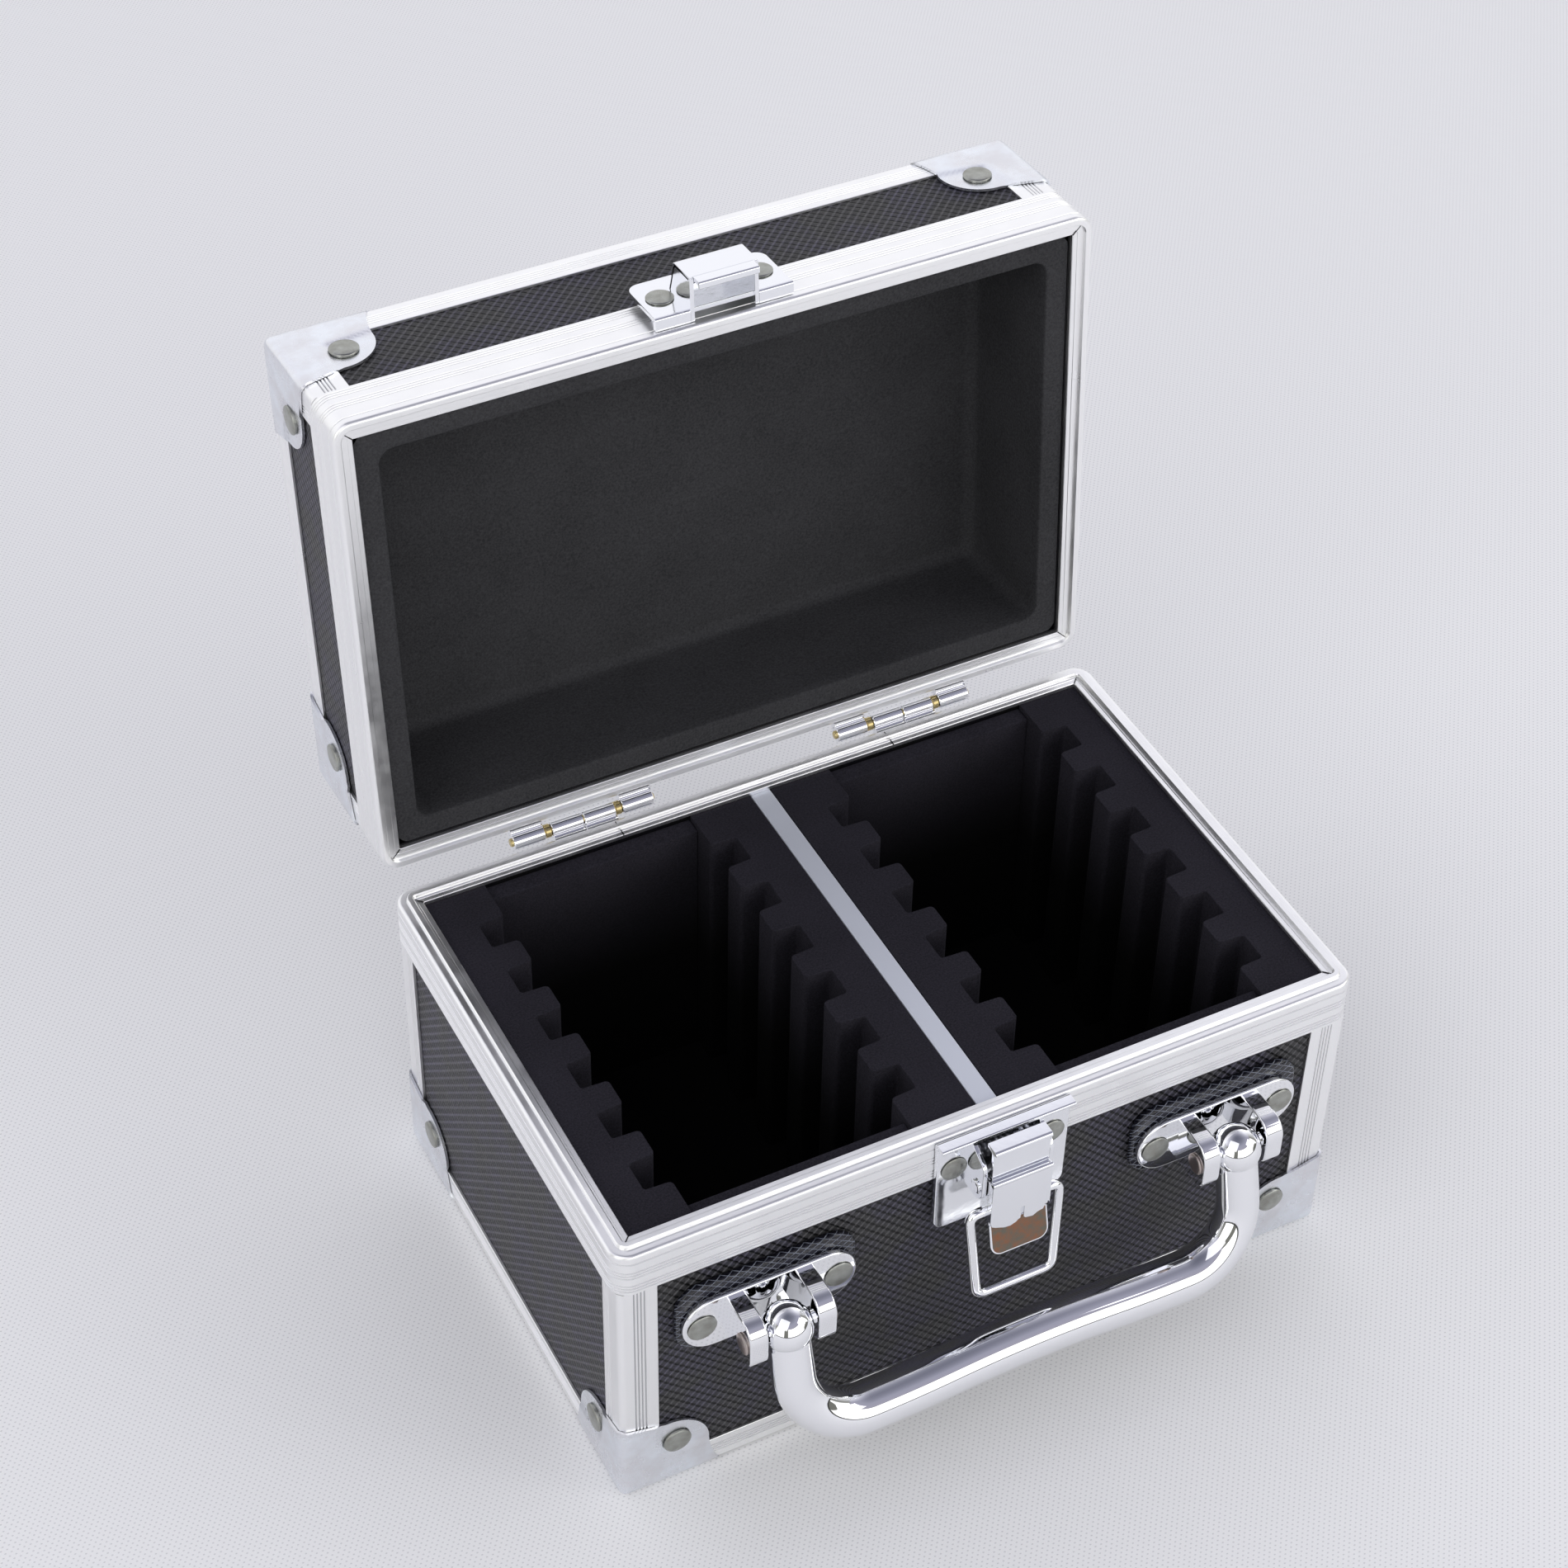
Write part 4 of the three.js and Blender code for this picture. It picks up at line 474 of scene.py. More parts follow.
ALUMINIUM = metal("aluminium", (0.96, 0.96, 0.96), 0.32, 0.1, grain=0.004)
# Darker, rougher aluminium on the groove floors of the rims, frames and posts: painted shade in the grooves
GROOVE_SHADE = metal("groove", (0.5, 0.5, 0.52), 0.5, 0.1)
SATIN = metal("satin cap", (0.72, 0.75, 0.83), 0.5, 0.06)
SATIN.node_tree.nodes["Principled BSDF"].inputs["Metallic"].default_value = 0.35
ZINC = metal(
    "zinc plate", (0.84, 0.87, 0.92), 0.26, 0.12, mottle=0.16, grain=0.006, second=(0.76, 0.76, 0.79)
)
CHROME = metal("chrome", (0.91, 0.915, 0.935), 0.03, 0.03)
PRESSED = metal("pressed chrome", (0.9, 0.91, 0.94), 0.1, 0.08, grain=0.03, pitch=0.3)
SPRING = metal("spring steel", (0.1, 0.1, 0.11), 0.35, 0.1)
RIVET = metal(
    "rivet", (0.42, 0.43, 0.4), 0.3, 0.12, mottle=0.3, second=(0.3, 0.3, 0.27), grain=0.06, pitch=0.5
)
PINK = metal("pin head", (0.55, 0.45, 0.42), 0.3, 0.1, mottle=0.3, second=(0.4, 0.36, 0.34))
COPPER = metal("worn copper", (0.3, 0.14, 0.08), 0.3, 0.2, mottle=0.45, second=(0.17, 0.16, 0.13), grain=0.05)
BRASS = metal("brass", (0.62, 0.5, 0.24), 0.2, 0.1)
SEAM = new_material("seam", (0.01, 0.01, 0.01), 0.0, 0.8)[0]
# The foam is painted darker from 4 mm under the base's height down to black at 42 mm, as painted shade in the
# slots
FOAM = cellular("foam", (0.013, 0.012, 0.016), (0.032, 0.03, 0.04), 2.2, 0.16, fade=(42, BASE_HEIGHT - 4))
LINING = cellular("lining", (0.026, 0.026, 0.028), (0.053, 0.053, 0.057), 1.8, 0.12)
PAD = embossed_pad()


# Panels are kept from the frame and given their laminate

def dress(node, material):
    materials = frame["nodes"][node].data.materials
    materials.clear()
    materials.append(material)


def dress_panels():
    faces = {"front": (0, 2), "back": (0, 2), "left": (1, 2), "right": (1, 2)}
    faces |= {"bottom": (0, 1), "top": (0, 1)}
    for half in ("base", "lid"):
        made = {}
        for side, axes in faces.items():
            node = f"{half}_{side}_panel"
            if node not in frame["nodes"]:
                continue
            if axes not in made:
                lean, share = (-1.0, 0.4) if axes == (1, 2) else (1.0, 0.9 if half == "base" else 0.6)
                skin = {(0, 2): HALF_DEPTH, (1, 2): HALF_WIDTH}.get(axes, 2 * PANEL_DEPTH) - 2 * PANEL_DEPTH
                made[axes] = laminate(f"laminate {half} {side}", *axes, half == "lid", lean, share, skin)
            dress(node, made[axes])
    dress("divider_panel", laminate("laminate divider", 1, 2, turned=False))


# Aluminium extrusions

class Section(list):
    """Outline points that also note which of their segments are groove floors."""

    def __init__(self, points):
        super().__init__(points)
        self.floors = set()

    def grooved(self, start, step, count, place):
        """Adds narrow grooves along a straight face."""
        side = 1 if step > 0 else -1
        for i in range(count):
            along = start + i * step
            self.floors.add(len(self) + 1)
            for offset, depth in ((-0.5, 0), (-0.3, 1), (0.3, 1), (0.5, 0)):
                self.append(place(along + side * offset * GROOVE_WIDTH, depth * GROOVE_DEPTH))


def swept(profile, half_x, half_y, radius, steps):
    """Stations of a profile of (depth, height) carried round a rectangle with round corners."""
    tightest = 0.25
    stations = []
    for corner, (side_x, side_y) in enumerate(QUARTERS):
        for step in range(steps + 1):
            angle = radians((corner + step / steps) * 90)
            station = []
            for depth, height in profile:
                bend = max(radius - depth, tightest)
                x = side_x * (half_x - depth - bend) + bend * cos(angle)
                y = side_y * (half_y - depth - bend) + bend * sin(angle)
                station.append((x, y, height))
            stations.append(station)
    return stations


def rim_profile(top, band, base):
    """The section of a closure rim, its outer face first; heights run up to the closure."""
    outline = Section([(0.15, top - band), (0, top - band + 0.15)])
    for start, count in ((top - band + 1.1, 3), (top - band + 5.2, 3), (top - 2.4, 1)):
        outline.grooved(start, RIM_GROOVES, count, lambda z, depth: (depth, z))
    outline += [(RIM_EDGE - x, z) for x, z in arc((0, top - RIM_EDGE), RIM_EDGE, 0, 90, 6)]
    tongue = TONGUE_START + TONGUE_WIDTH
    if base:
        lip, lip_top = BASE_LIP, top
        outline += [(TONGUE_START, top), (TONGUE_START + 0.12, top + 0.6)]
        outline.append((TONGUE_START + 0.4, top + TONGUE_HEIGHT))
        outline += [(tongue - 0.4, top + TONGUE_HEIGHT), (tongue - 0.12, top + 0.6), (tongue, top)]
        outline += [(lip - 1.25, top), (lip - 1.1, top - 0.15)]
    else:
        lip, lip_top = LID_LIP, top - LID_LIP_DROP
        outline += [(TONGUE_START - 0.3, top), (TONGUE_START - 0.15, top - 0.15)]
        outline += [(TONGUE_START - 0.05, lip_top), (lip - 1.2, lip_top), (lip - 1.1, lip_top - 0.12)]
    drop = 0.15 if base else 0.12
    outline += [(lip - 0.15, lip_top - drop), (lip, lip_top - drop - 0.15)]
    outline += [(lip, lip_top - LIP_THICKNESS), (PANEL_DEPTH - 0.1, lip_top - LIP_THICKNESS)]
    outline += [(PANEL_DEPTH - 0.1, top - band)]
    return outline


def to_half(form, half):
    """Turns a lid's form, drawn like the base's with its closed end on the floor, over onto the lid."""
    if half == "lid":
        form.moved(Matrix.Translation((0, 0, LID_TOP)) @ UPSIDE_DOWN)


def to_corner(form, half, side_x, side_y, depth):
    """Carries a form drawn round the origin to one corner of its half."""
    corner = (side_x * (HALF_WIDTH - depth), side_y * (HALF_DEPTH - depth), 0)
    form.moved(Matrix.Translation(corner) @ Matrix.Diagonal((-side_x, -side_y, 1, 1)))
    to_half(form, half)


def add_rim(half, height, band):
    base = half == "base"
    form = Form()
    profile = rim_profile(height, band, base)
    stations = swept(profile, HALF_WIDTH, HALF_DEPTH, RIM_ROUND, 12)
    # Groove floors get the darker groove material as painted shade
    form.loft(stations, path_closed=True, floors=profile.floors, floor_material=2)
    top = height if base else height - LID_LIP_DROP
    mitre = (3.98, BASE_LIP + 0.02) if base else (2.2, LID_LIP + 0.02)
    for side_x in (-1, 1):
        for side_y in (-1, 1):
            line = [(side_x * (HALF_WIDTH - d), side_y * (HALF_DEPTH - d)) for d in mitre]
            add_seam(form, line, top - SEAM_DEPTH, top + 0.02)
    if base:
        for x in (-HINGE_SEAM, HINGE_SEAM):
            add_seam(form, [(x, BACK - 0.9), (x, BACK - BASE_LIP - 0.02)], height - SEAM_DEPTH, height + 0.02)
            add_seam(form, [(x, BACK + 0.01), (x, BACK - SEAM_DEPTH)], height - band + 0.2, height - 0.9)
    to_half(form, half)
    materials = [ALUMINIUM, SEAM, GROOVE_SHADE]
    form.finish(f"{half} closure rim", half, materials, "aluminium", smooth=EXTRUSION_CREASE)


def add_seam(form, line, bottom, top):
    """A dark hairline between two points in plan."""
    start, end = (Vector(p) for p in line)
    across = (end - start).normalized().orthogonal() * SEAM_WIDTH / 2
    outline = [start + across, start - across, end - across, end + across]
    form.prism([tuple(p) for p in outline], "z", bottom, top, material=1)


def post_profile():
    outline = Section([(0, POST_SIDE)])
    outline.grooved(POST_SIDE - 1.3, -ANGLE_GROOVES, 3, lambda y, depth: (depth, y))
    outline += arc((ANGLE_ROUND, ANGLE_ROUND), ANGLE_ROUND, 180, 270, 8)
    outline.grooved(3.6, ANGLE_GROOVES, 4, lambda x, depth: (x, depth))
    outline += [(POST_FRONT - 0.1, 0), (POST_FRONT, 0.1), (POST_FRONT, ANGLE_THICKNESS)]
    outline += [(ANGLE_ROUND, ANGLE_THICKNESS), (ANGLE_THICKNESS, ANGLE_ROUND), (ANGLE_THICKNESS, POST_SIDE)]
    return outline


def frame_profile():
    top = FRAME_LEVEL + FRAME_FACE
    outline = Section([(ANGLE_DEPTH + 0.35, FRAME_LEVEL), (ANGLE_DEPTH + 0.1, FRAME_LEVEL + 0.1)])
    outline.append((ANGLE_DEPTH, FRAME_LEVEL + 0.35))
    outline.grooved(FRAME_LEVEL + 2.4, ANGLE_GROOVES, 4, lambda z, depth: (ANGLE_DEPTH + depth, z))
    outline += [(ANGLE_DEPTH, top - 0.1), (ANGLE_DEPTH + 0.1, top), (ANGLE_DEPTH + ANGLE_THICKNESS, top)]
    outline += [(ANGLE_DEPTH + ANGLE_THICKNESS, FRAME_LEVEL + ANGLE_THICKNESS)]
    outline += [(FRAME_UNDER, FRAME_LEVEL + ANGLE_THICKNESS), (FRAME_UNDER, FRAME_LEVEL)]
    outline.grooved(FRAME_UNDER - 1.2, -0.9, 3, lambda d, depth: (d, FRAME_LEVEL + depth))
    return outline


def corner_places():
    for end, side_y in (("front", -1), ("back", 1)):
        for side, side_x in (("left", -1), ("right", 1)):
            yield f"{end}_{side}", side_x, side_y


def add_extrusions(half, height, band):
    frame_form = Form()
    profile = frame_profile()
    stations = swept(profile, HALF_WIDTH, HALF_DEPTH, ANGLE_DEPTH + ANGLE_ROUND, 6)
    # Groove floors get the darker groove material as painted shade
    frame_form.loft(stations, path_closed=True, floors=profile.floors, floor_material=1)
    to_half(frame_form, half)
    materials = [ALUMINIUM, GROOVE_SHADE]
    frame_form.finish(f"{half} edge frame", half, materials, "aluminium", smooth=EXTRUSION_CREASE)
    post = post_profile()
    foot, top = FRAME_LEVEL + FRAME_FACE + 0.1, height - band - 0.1
    for name, side_x, side_y in corner_places():
        form = Form()
        form.prism(post, "z", foot, top, floors=post.floors, floor_material=1)
        to_corner(form, half, side_x, side_y, ANGLE_DEPTH)
        form.finish(f"{half} post {name}", half, materials, "aluminium", smooth=EXTRUSION_CREASE)


# Corner brackets, pressed from sheet

def bracket_wall_outline(steps):
    """The free edge of a wall face, from its foot round the lobe to the case's corner."""
    start = arc(LOBE, LOBE_RADIUS, LOBE_START, LOBE_START, 1)[0]
    foot = Vector((BRACKET_LENGTH, 0))
    control = Vector((start[0] + 0.6, start[1] / 2))
    edge = quadratic(foot, control, Vector(start), 8)[:-1]
    edge += [Vector(p) for p in arc(LOBE, LOBE_RADIUS, LOBE_START, LOBE_END, steps)]
    shoulder = Vector(SHOULDER)
    last = edge[-1]
    edge += [last.lerp(shoulder, t) for t in (0.35, 0.7, 1)]
    edge += [shoulder.lerp(Vector((0, BRACKET_HEIGHT)), t) for t in (0.25, 0.5, 0.75, 1)]
    return edge


def bracket_under_outline(steps):
    a, c = Vector((BRACKET_LENGTH, 0)), Vector((0, BRACKET_LENGTH))
    b = Vector((BRACKET_LENGTH * 0.72, BRACKET_LENGTH * 0.72))
    return quadratic(a, b, c, steps)


def rounded_corner(point):
    """Moves a point of a sharp outer corner onto one with round edges."""
    centre = Vector([max(value, BRACKET_ROUND) for value in point])
    away = Vector(point) - centre
    if away.length < 1e-6:
        return Vector(point)
    return centre + away.normalized() * BRACKET_ROUND


def pocket(a, b):
    """How far the sheet is pressed in where it lies on the panel beyond the post and the rail."""
    slack = 1.1
    beyond_post = smoothstep(POST_FRONT - 0.6, POST_FRONT + slack, a - 0.12 * (20 - b))
    above_rail = smoothstep(FRAME_FACE + 0.4, FRAME_FACE + 0.4 + slack, b - 0.12 * (20 - a) - 1.2)
    return POCKET_DEPTH * beyond_post * above_rail


def add_sheet_face(form, edge, rows, place):
    """Fills the region between the corner point and its free edge with a fan of quads."""
    mesh = form.mesh
    grid = []
    for j in range(rows + 1):
        t = j / rows
        grid.append([mesh.verts.new(place(p.x * t, p.y * t)) for p in edge])
    for near, far in zip(grid, grid[1:]):
        for i in range(len(edge) - 1):
            mesh.faces.new((near[i], near[i + 1], far[i + 1], far[i]))


def bracket_form():
    form = Form()
    wall = bracket_wall_outline(18)
    under = bracket_under_outline(24)

    def front(a, b):
        point = rounded_corner((a, 0, b))
        point.y += pocket(a, b)
        return point

    def side(a, b):
        point = rounded_corner((0, a, b))
        point.x += pocket(a, b)
        return point

    for edge, place in ((wall, front), (wall, side), (under, lambda a, b: rounded_corner((a, b, 0)))):
        add_sheet_face(form, edge, 30, place)
    bmesh.ops.remove_doubles(form.mesh, verts=form.mesh.verts, dist=0.02)
    bmesh.ops.dissolve_degenerate(form.mesh, edges=form.mesh.edges, dist=0.01)
    bmesh.ops.recalc_face_normals(form.mesh, faces=form.mesh.faces)
    centre = Vector((BRACKET_LENGTH / 3,) * 3)
    outside = sum((f.normal.dot(f.calc_center_median() - centre) for f in form.mesh.faces))
    if outside < 0:
        bmesh.ops.reverse_faces(form.mesh, faces=form.mesh.faces)
    form.mesh.normal_update()
    thicken(form, BRACKET_SHEET)
    seat = POCKET_DEPTH - 0.1
    across, up = RIVET_PLACE
    form.rivet(BRACKET_RIVET, (across, seat, up), FORWARD, rise=0.8, material=1)
    form.rivet(BRACKET_RIVET, (seat, across, up), (-1, 0, 0), rise=0.8, material=1)
    return form


def thicken(form, thickness):
    """Gives an open sheet a back and a rim."""
    mesh = form.mesh
    outer = mesh.verts[:]
    faces = mesh.faces[:]
    rim = [edge for edge in mesh.edges if edge.is_boundary]
    inner = {vert: mesh.verts.new(vert.co - vert.normal * thickness) for vert in outer}
    for face in faces:
        mesh.faces.new([inner[vert] for vert in reversed(face.verts[:])])
    for edge in rim:
        loop = edge.link_loops[0]
        first, second = loop.vert, loop.link_loop_next.vert
        mesh.faces.new((second, first, inner[first], inner[second]))


def add_brackets(half):
    for name, side_x, side_y in corner_places():
        form = bracket_form()
        to_corner(form, half, side_x, side_y, BRACKET_DEPTH)
        form.finish(f"{half} corner {name}", half, [ZINC, RIVET], "zinc", smooth=40, weighted=False)


# Foam

FOAM_TOP = high("left_row_outer_slot_strip", 2)
FOAM_FOOT = low("left_row_outer_slot_strip", 2)
FOAM_EDGE = 0.35
SLOT_WIDTH = 8.2
SLOT_PITCH = 15.6
SLOTS = 6
TOOTH_ROUND = 1.1
# How much of a strip's width its web takes up behind the slots
STRIP_WEB = 0.592


def strip_outline(back, tip, web):
    """A toothed strip in plan: its back, its tooth tips and the floor of its slots, in X."""
    toward = 1 if tip > back else -1
    end = high("left_row_outer_slot_strip", 1)
    outline = [(back, end), (back, -end), (tip, -end)]
    for slot in range(SLOTS):
        middle = (slot - (SLOTS - 1) / 2) * SLOT_PITCH
        for side in (-1, 1):
            wall = middle + side * SLOT_WIDTH / 2
            bend = (tip - toward * TOOTH_ROUND, wall + side * TOOTH_ROUND)
            round_x, round_y = toward * TOOTH_ROUND, side * TOOTH_ROUND
            curve = [
                (bend[0] + round_x * cos(radians(a)), bend[1] - round_y * sin(radians(a)))
                for a in (0, 22, 45, 67, 90)
            ]
            inset = wall - side * 0.25
            floor = [(web + toward * 0.4, inset), (web, inset - side * 0.4)]
            outline += curve + floor if side < 0 else list(reversed(curve + floor))
    outline += [(tip, end)]
    return outline


def add_block(name, node):
    """A plain piece of foam that fills its node's box."""
    form = Form()
    form.box(*((low(node, axis), high(node, axis)) for axis in range(3)), bevel=FOAM_EDGE)
    form.finish(name, "base", [FOAM], "foam", [node])


def add_foam():
    for side in ("left", "right"):
        for place in ("outer", "inner"):
            node = f"{side}_row_{place}_slot_strip"
            low_x, high_x = low(node, 0), high(node, 0)
            points_right = (side == "left") == (place == "outer")
            back, tip = (low_x, high_x) if points_right else (high_x, low_x)
            web = back + (tip - back) * STRIP_WEB
            form = Form()
            form.prism(strip_outline(back, tip, web), "z", FOAM_FOOT, FOAM_TOP, bevel=FOAM_EDGE)
            form.finish(f"{side} {place} slot strip", "base", [FOAM], "foam", [node])
        for end in ("front", "back"):
            add_block(f"{side} {end} pad", f"{side}_row_{end}_pad")
    add_block("floor pad", "floor_pad")


def add_divider_cap():
    node = "divider_cap"
    half = high(node, 0)
    foot, top = low(node, 2), high(node, 2)
    sheet = 0.6
    bend = 0.5
    outline = [(-half, foot), (-half + sheet, foot), (-half + sheet, top - sheet)]
    outline += [(half - sheet, top - sheet), (half - sheet, foot), (half, foot)]
    outline += arc((half - bend, top - bend), bend, 0, 90, 5)
    outline += arc((-half + bend, top - bend), bend, 90, 180, 5)
    form = Form()
    form.prism(outline, "y", low(node, 1), high(node, 1))
    form.finish("divider cap", "base", [SATIN], "aluminium")


# Lid lining, a thin padded tray that puckers a little

LINING_SHEET = 1.8
LINING_WALL = 5.2
LINING_MOUTH = 2.3
LINING_CORNER = 3.5
LINING_ROUND = 3.0
LINING_TOP = 4.9


def wrinkled(point, inward, edge_distance):
    """Pushes a lining point in and out by a fraction of a millimetre, less near its borders."""
    slow = noise.noise(Vector(point) * 0.028)
    quick = noise.noise(Vector(point) * 0.09 + Vector((7, 3, 1)))
    calm = smoothstep(0, 14, edge_distance)
    return Vector(point) + Vector(inward) * (slow * 0.9 + quick * 0.35) * calm


def clamped(value, limit):
    return max(-limit, min(limit, value))


def lining_ring(half_x, half_y, depth, height):
    """One level of the tray's wall in plan, its corners round and its sides finely divided."""
    bend = max(LINING_CORNER - depth, 0.6)

    def at(quarter, turn):
        side_x, side_y = QUARTERS[quarter % 4]
        angle = radians(turn * 90)
        x = side_x * (half_x - depth - bend) + bend * cos(angle)
        return Vector((x, side_y * (half_y - depth - bend) + bend * sin(angle), height))

    ring = []
    for quarter in range(4):
        ring += [at(quarter, quarter + step / 6) for step in range(7)]
        start, stop = ring[-1], at(quarter + 1, quarter + 1)
        ring += [start.lerp(stop, k / 24) for k in range(1, 24)]
    return ring


def add_lining():
    inset = INNER_DEPTH + 0.1
    half_x, half_y = HALF_WIDTH - inset - LINING_WALL, HALF_DEPTH - inset - LINING_WALL
    mouth = LID_RIM + LINING_MOUTH
    ceiling = LID_TOP - LINING_TOP - 0.1 - LINING_SHEET
    form = Form()
    profile = [(-0.4, mouth), (-0.1, mouth + 0.15), (0, mouth + 0.5)]
    for i in range(1, 10):
        profile.append((0, mouth + (ceiling - LINING_ROUND - mouth) * i / 10))
    profile += [(LINING_ROUND - x, z) for x, z in arc((0, ceiling - LINING_ROUND), LINING_ROUND, 0, 90, 6)]
    rings = [lining_ring(half_x, half_y, depth, height) for depth, height in profile]

    def shaped(p):
        toward = Vector((-p.x / half_x, -p.y / half_y, 0))
        across = abs(toward.x) > abs(toward.y)
        direction = Vector((toward.x, 0, 0)) if across else Vector((0, toward.y, 0))
        edge = min(p.z - mouth, ceiling - p.z, abs(abs(p.x) - abs(p.y) * half_x / half_y) + 4)
        return wrinkled(p, direction, edge)

    mesh = form.mesh
    rows = [[mesh.verts.new(shaped(p)) for p in ring] for ring in rings]
    count = len(rows[0])
    for here, there in zip(rows, rows[1:]):
        for i in range(count):
            j = (i + 1) % count
            mesh.faces.new((here[i], there[i], there[j], here[j]))
    outer_x, outer_y = HALF_WIDTH - inset, HALF_DEPTH - inset
    lip = []
    for p in rings[0]:
        x, y = clamped(p.x * outer_x / half_x, outer_x), clamped(p.y * outer_y / half_y, outer_y)
        lip.append(mesh.verts.new((x, y, mouth)))
    for i in range(count):
        j = (i + 1) % count
        mesh.faces.new((lip[i], rows[0][i], rows[0][j], lip[j]))
    add_ceiling(mesh, half_x - LINING_ROUND, half_y - LINING_ROUND, ceiling)
    bmesh.ops.recalc_face_normals(mesh, faces=mesh.faces)
    middle = min(mesh.faces, key=lambda f: (f.calc_center_median() - Vector((0, 0, ceiling))).length)
    if middle.normal.z > 0:
        bmesh.ops.reverse_faces(mesh, faces=mesh.faces)
    form.finish("lid lining", "lid", [LINING], "lining", smooth=50, weighted=False)


def add_ceiling(mesh, half_x, half_y, level):
    """A finely divided sheet that hangs a little and wrinkles, set inside the tray's walls."""
    columns, rows = 60, 40
    grid = []
    for j in range(rows + 1):
        line = []
        for i in range(columns + 1):
            x, y = (2 * i / columns - 1) * (half_x + 0.2), (2 * j / rows - 1) * (half_y + 0.2)
            edge = min(half_x - abs(x), half_y - abs(y))
            point = wrinkled((x, y, level), (0, 0, -1), max(edge, 0))
            line.append(mesh.verts.new(point))
        grid.append(line)
    for near, far in zip(grid, grid[1:]):
        for i in range(columns):
            mesh.faces.new((near[i], near[i + 1], far[i + 1], far[i]))


# Carrying handle

HANDLE_X = (low("handle_bracket_right", 0) + high("handle_bracket_right", 0)) / 2
HANDLE_Y, HANDLE_Z = pivot("handle_swing")[1:]
BALL_RADIUS = 5.75
LEG_RADIUS = 4.8
GRIP_RADIUS = 5.7
HANDLE_LEAN = radians(15)
HANDLE_DROP = 28.7
HANDLE_BEND = 15.7
GRIP_RISE = 1.3
PLATE_LENGTH = 41
PLATE_HEIGHT = 14.7
PLATE_FACE = HANDLE_Y + 7.6
PLATE_THICKNESS = 1.6
PLATE_RIVETS = 32.2
LUG_GAP = 11.8
LUG_WIDTH = 4.3
LUG_HEIGHT = 12.4
LUG_REACH = 10.9
PAD_ROUND = 6


def handle_line():
    """The bail's centre line and its radii, from the left pivot to the right one."""
    crown = HANDLE_DROP - GRIP_RISE
    bend_x, bend_top = HANDLE_X - HANDLE_BEND, HANDLE_DROP - HANDLE_BEND
    pull = 0.5523 * HANDLE_BEND
    steps = 24

    def at(x, depth):
        return Vector((x, HANDLE_Y - depth * sin(HANDLE_LEAN), HANDLE_Z - depth * cos(HANDLE_LEAN)))

    line = [at(-HANDLE_X, bend_top * i / 6) for i in range(7)]
    radii = [LEG_RADIUS] * len(line)
    line += bezier(
        line[-1], at(-HANDLE_X, bend_top + pull), at(-bend_x - pull, HANDLE_DROP),
        at(-bend_x, HANDLE_DROP), steps,
    )
    radii += [LEG_RADIUS + (GRIP_RADIUS - LEG_RADIUS) * smoothstep(0, steps, i + 1) for i in range(steps)]
    line += bezier(line[-1], at(-bend_x * 0.55, HANDLE_DROP), at(-bend_x * 0.45, crown), at(0, crown), steps)
    radii += [GRIP_RADIUS] * steps
    line += [Vector((-p.x, p.y, p.z)) for p in reversed(line[:-1])]
    return line, radii + radii[-2::-1]


def add_handle():
    form = Form()
    form.tube(*handle_line(), sides=40)
    turns = [radians(a) for a in (2, *range(10, 180, 10), 178)]
    profile = [(BALL_RADIUS * sin(a), -BALL_RADIUS * cos(a)) for a in turns]
    for side in (-1, 1):
        form.lathe(profile, (side * HANDLE_X, HANDLE_Y, HANDLE_Z), (0, 0, 1), sides=40)
    form.finish("carry handle", "handle", [CHROME], "chrome", smooth=40, weighted=False)


def lug_outline():
    """A lug from the side: a thick cheek with a round, stepped nose."""
    back = PLATE_FACE + PLATE_THICKNESS / 2
    nose = PLATE_FACE - LUG_REACH
    top = HANDLE_Z + LUG_HEIGHT / 2
    foot = HANDLE_Z - LUG_HEIGHT / 2
    outline = [(back, foot), (back, top)]
    upper, lower = 4.4, 3.2
    outline += arc((nose + upper, top - upper), upper, 90, 180, 8)
    return outline + arc((nose + lower, foot + lower), lower, 180, 270, 8)


def add_handle_brackets():
    for name, side in (("left", -1), ("right", 1)):
        x = side * HANDLE_X
        form = Form()
        outline = [(x + a, HANDLE_Z + b) for a, b in stadium(PLATE_LENGTH, PLATE_HEIGHT)]
        form.prism(outline, "y", PLATE_FACE, PLATE_FACE + PLATE_THICKNESS, bevel=0.5, segments=3)
        inner, outer = LUG_GAP / 2, LUG_GAP / 2 + LUG_WIDTH
        for start in (inner, -outer):
            form.prism(lug_outline(), "x", x + start, x + start + LUG_WIDTH, bevel=0.45, segments=3)
        for toward in (-1, 1):
            face = x + toward * outer
            form.rivet(2.5, (face, HANDLE_Y, HANDLE_Z), (toward, 0, 0), rise=0.7, material=1)
            seat = (x + toward * PLATE_RIVETS / 2, PLATE_FACE, HANDLE_Z)
            form.rivet(FITTING_RIVET + 0.3, seat, FORWARD, rise=0.6, material=2)
        form.lathe([(1.6, -outer), (1.6, outer)], (x, HANDLE_Y, HANDLE_Z), ACROSS, sides=20)
        form.finish(f"handle bracket {name}", "base", [CHROME, PINK, RIVET], "chrome")
        node = f"handle_pad_{name}"
        length, height = high(node, 0) - low(node, 0), high(node, 2) - low(node, 2)
        middle = (low(node, 2) + high(node, 2)) / 2
        pad = Form()
        outline = [(x + a, middle + b) for a, b in rounded_rectangle(length / 2, height / 2, PAD_ROUND)]
        pad.prism(outline, "y", low(node, 1), high(node, 1), bevel=0.8, segments=4)
        pad.finish(f"handle pad {name}", "base", [PAD], "pad")


# Latch. Reach is measured outwards from the front face of the rims.

def out(reach):
    return FRONT - reach


def outward(points):
    """A side view of reaches and heights, in the scene's Y and Z."""
    return [(out(reach), z) for reach, z in points]


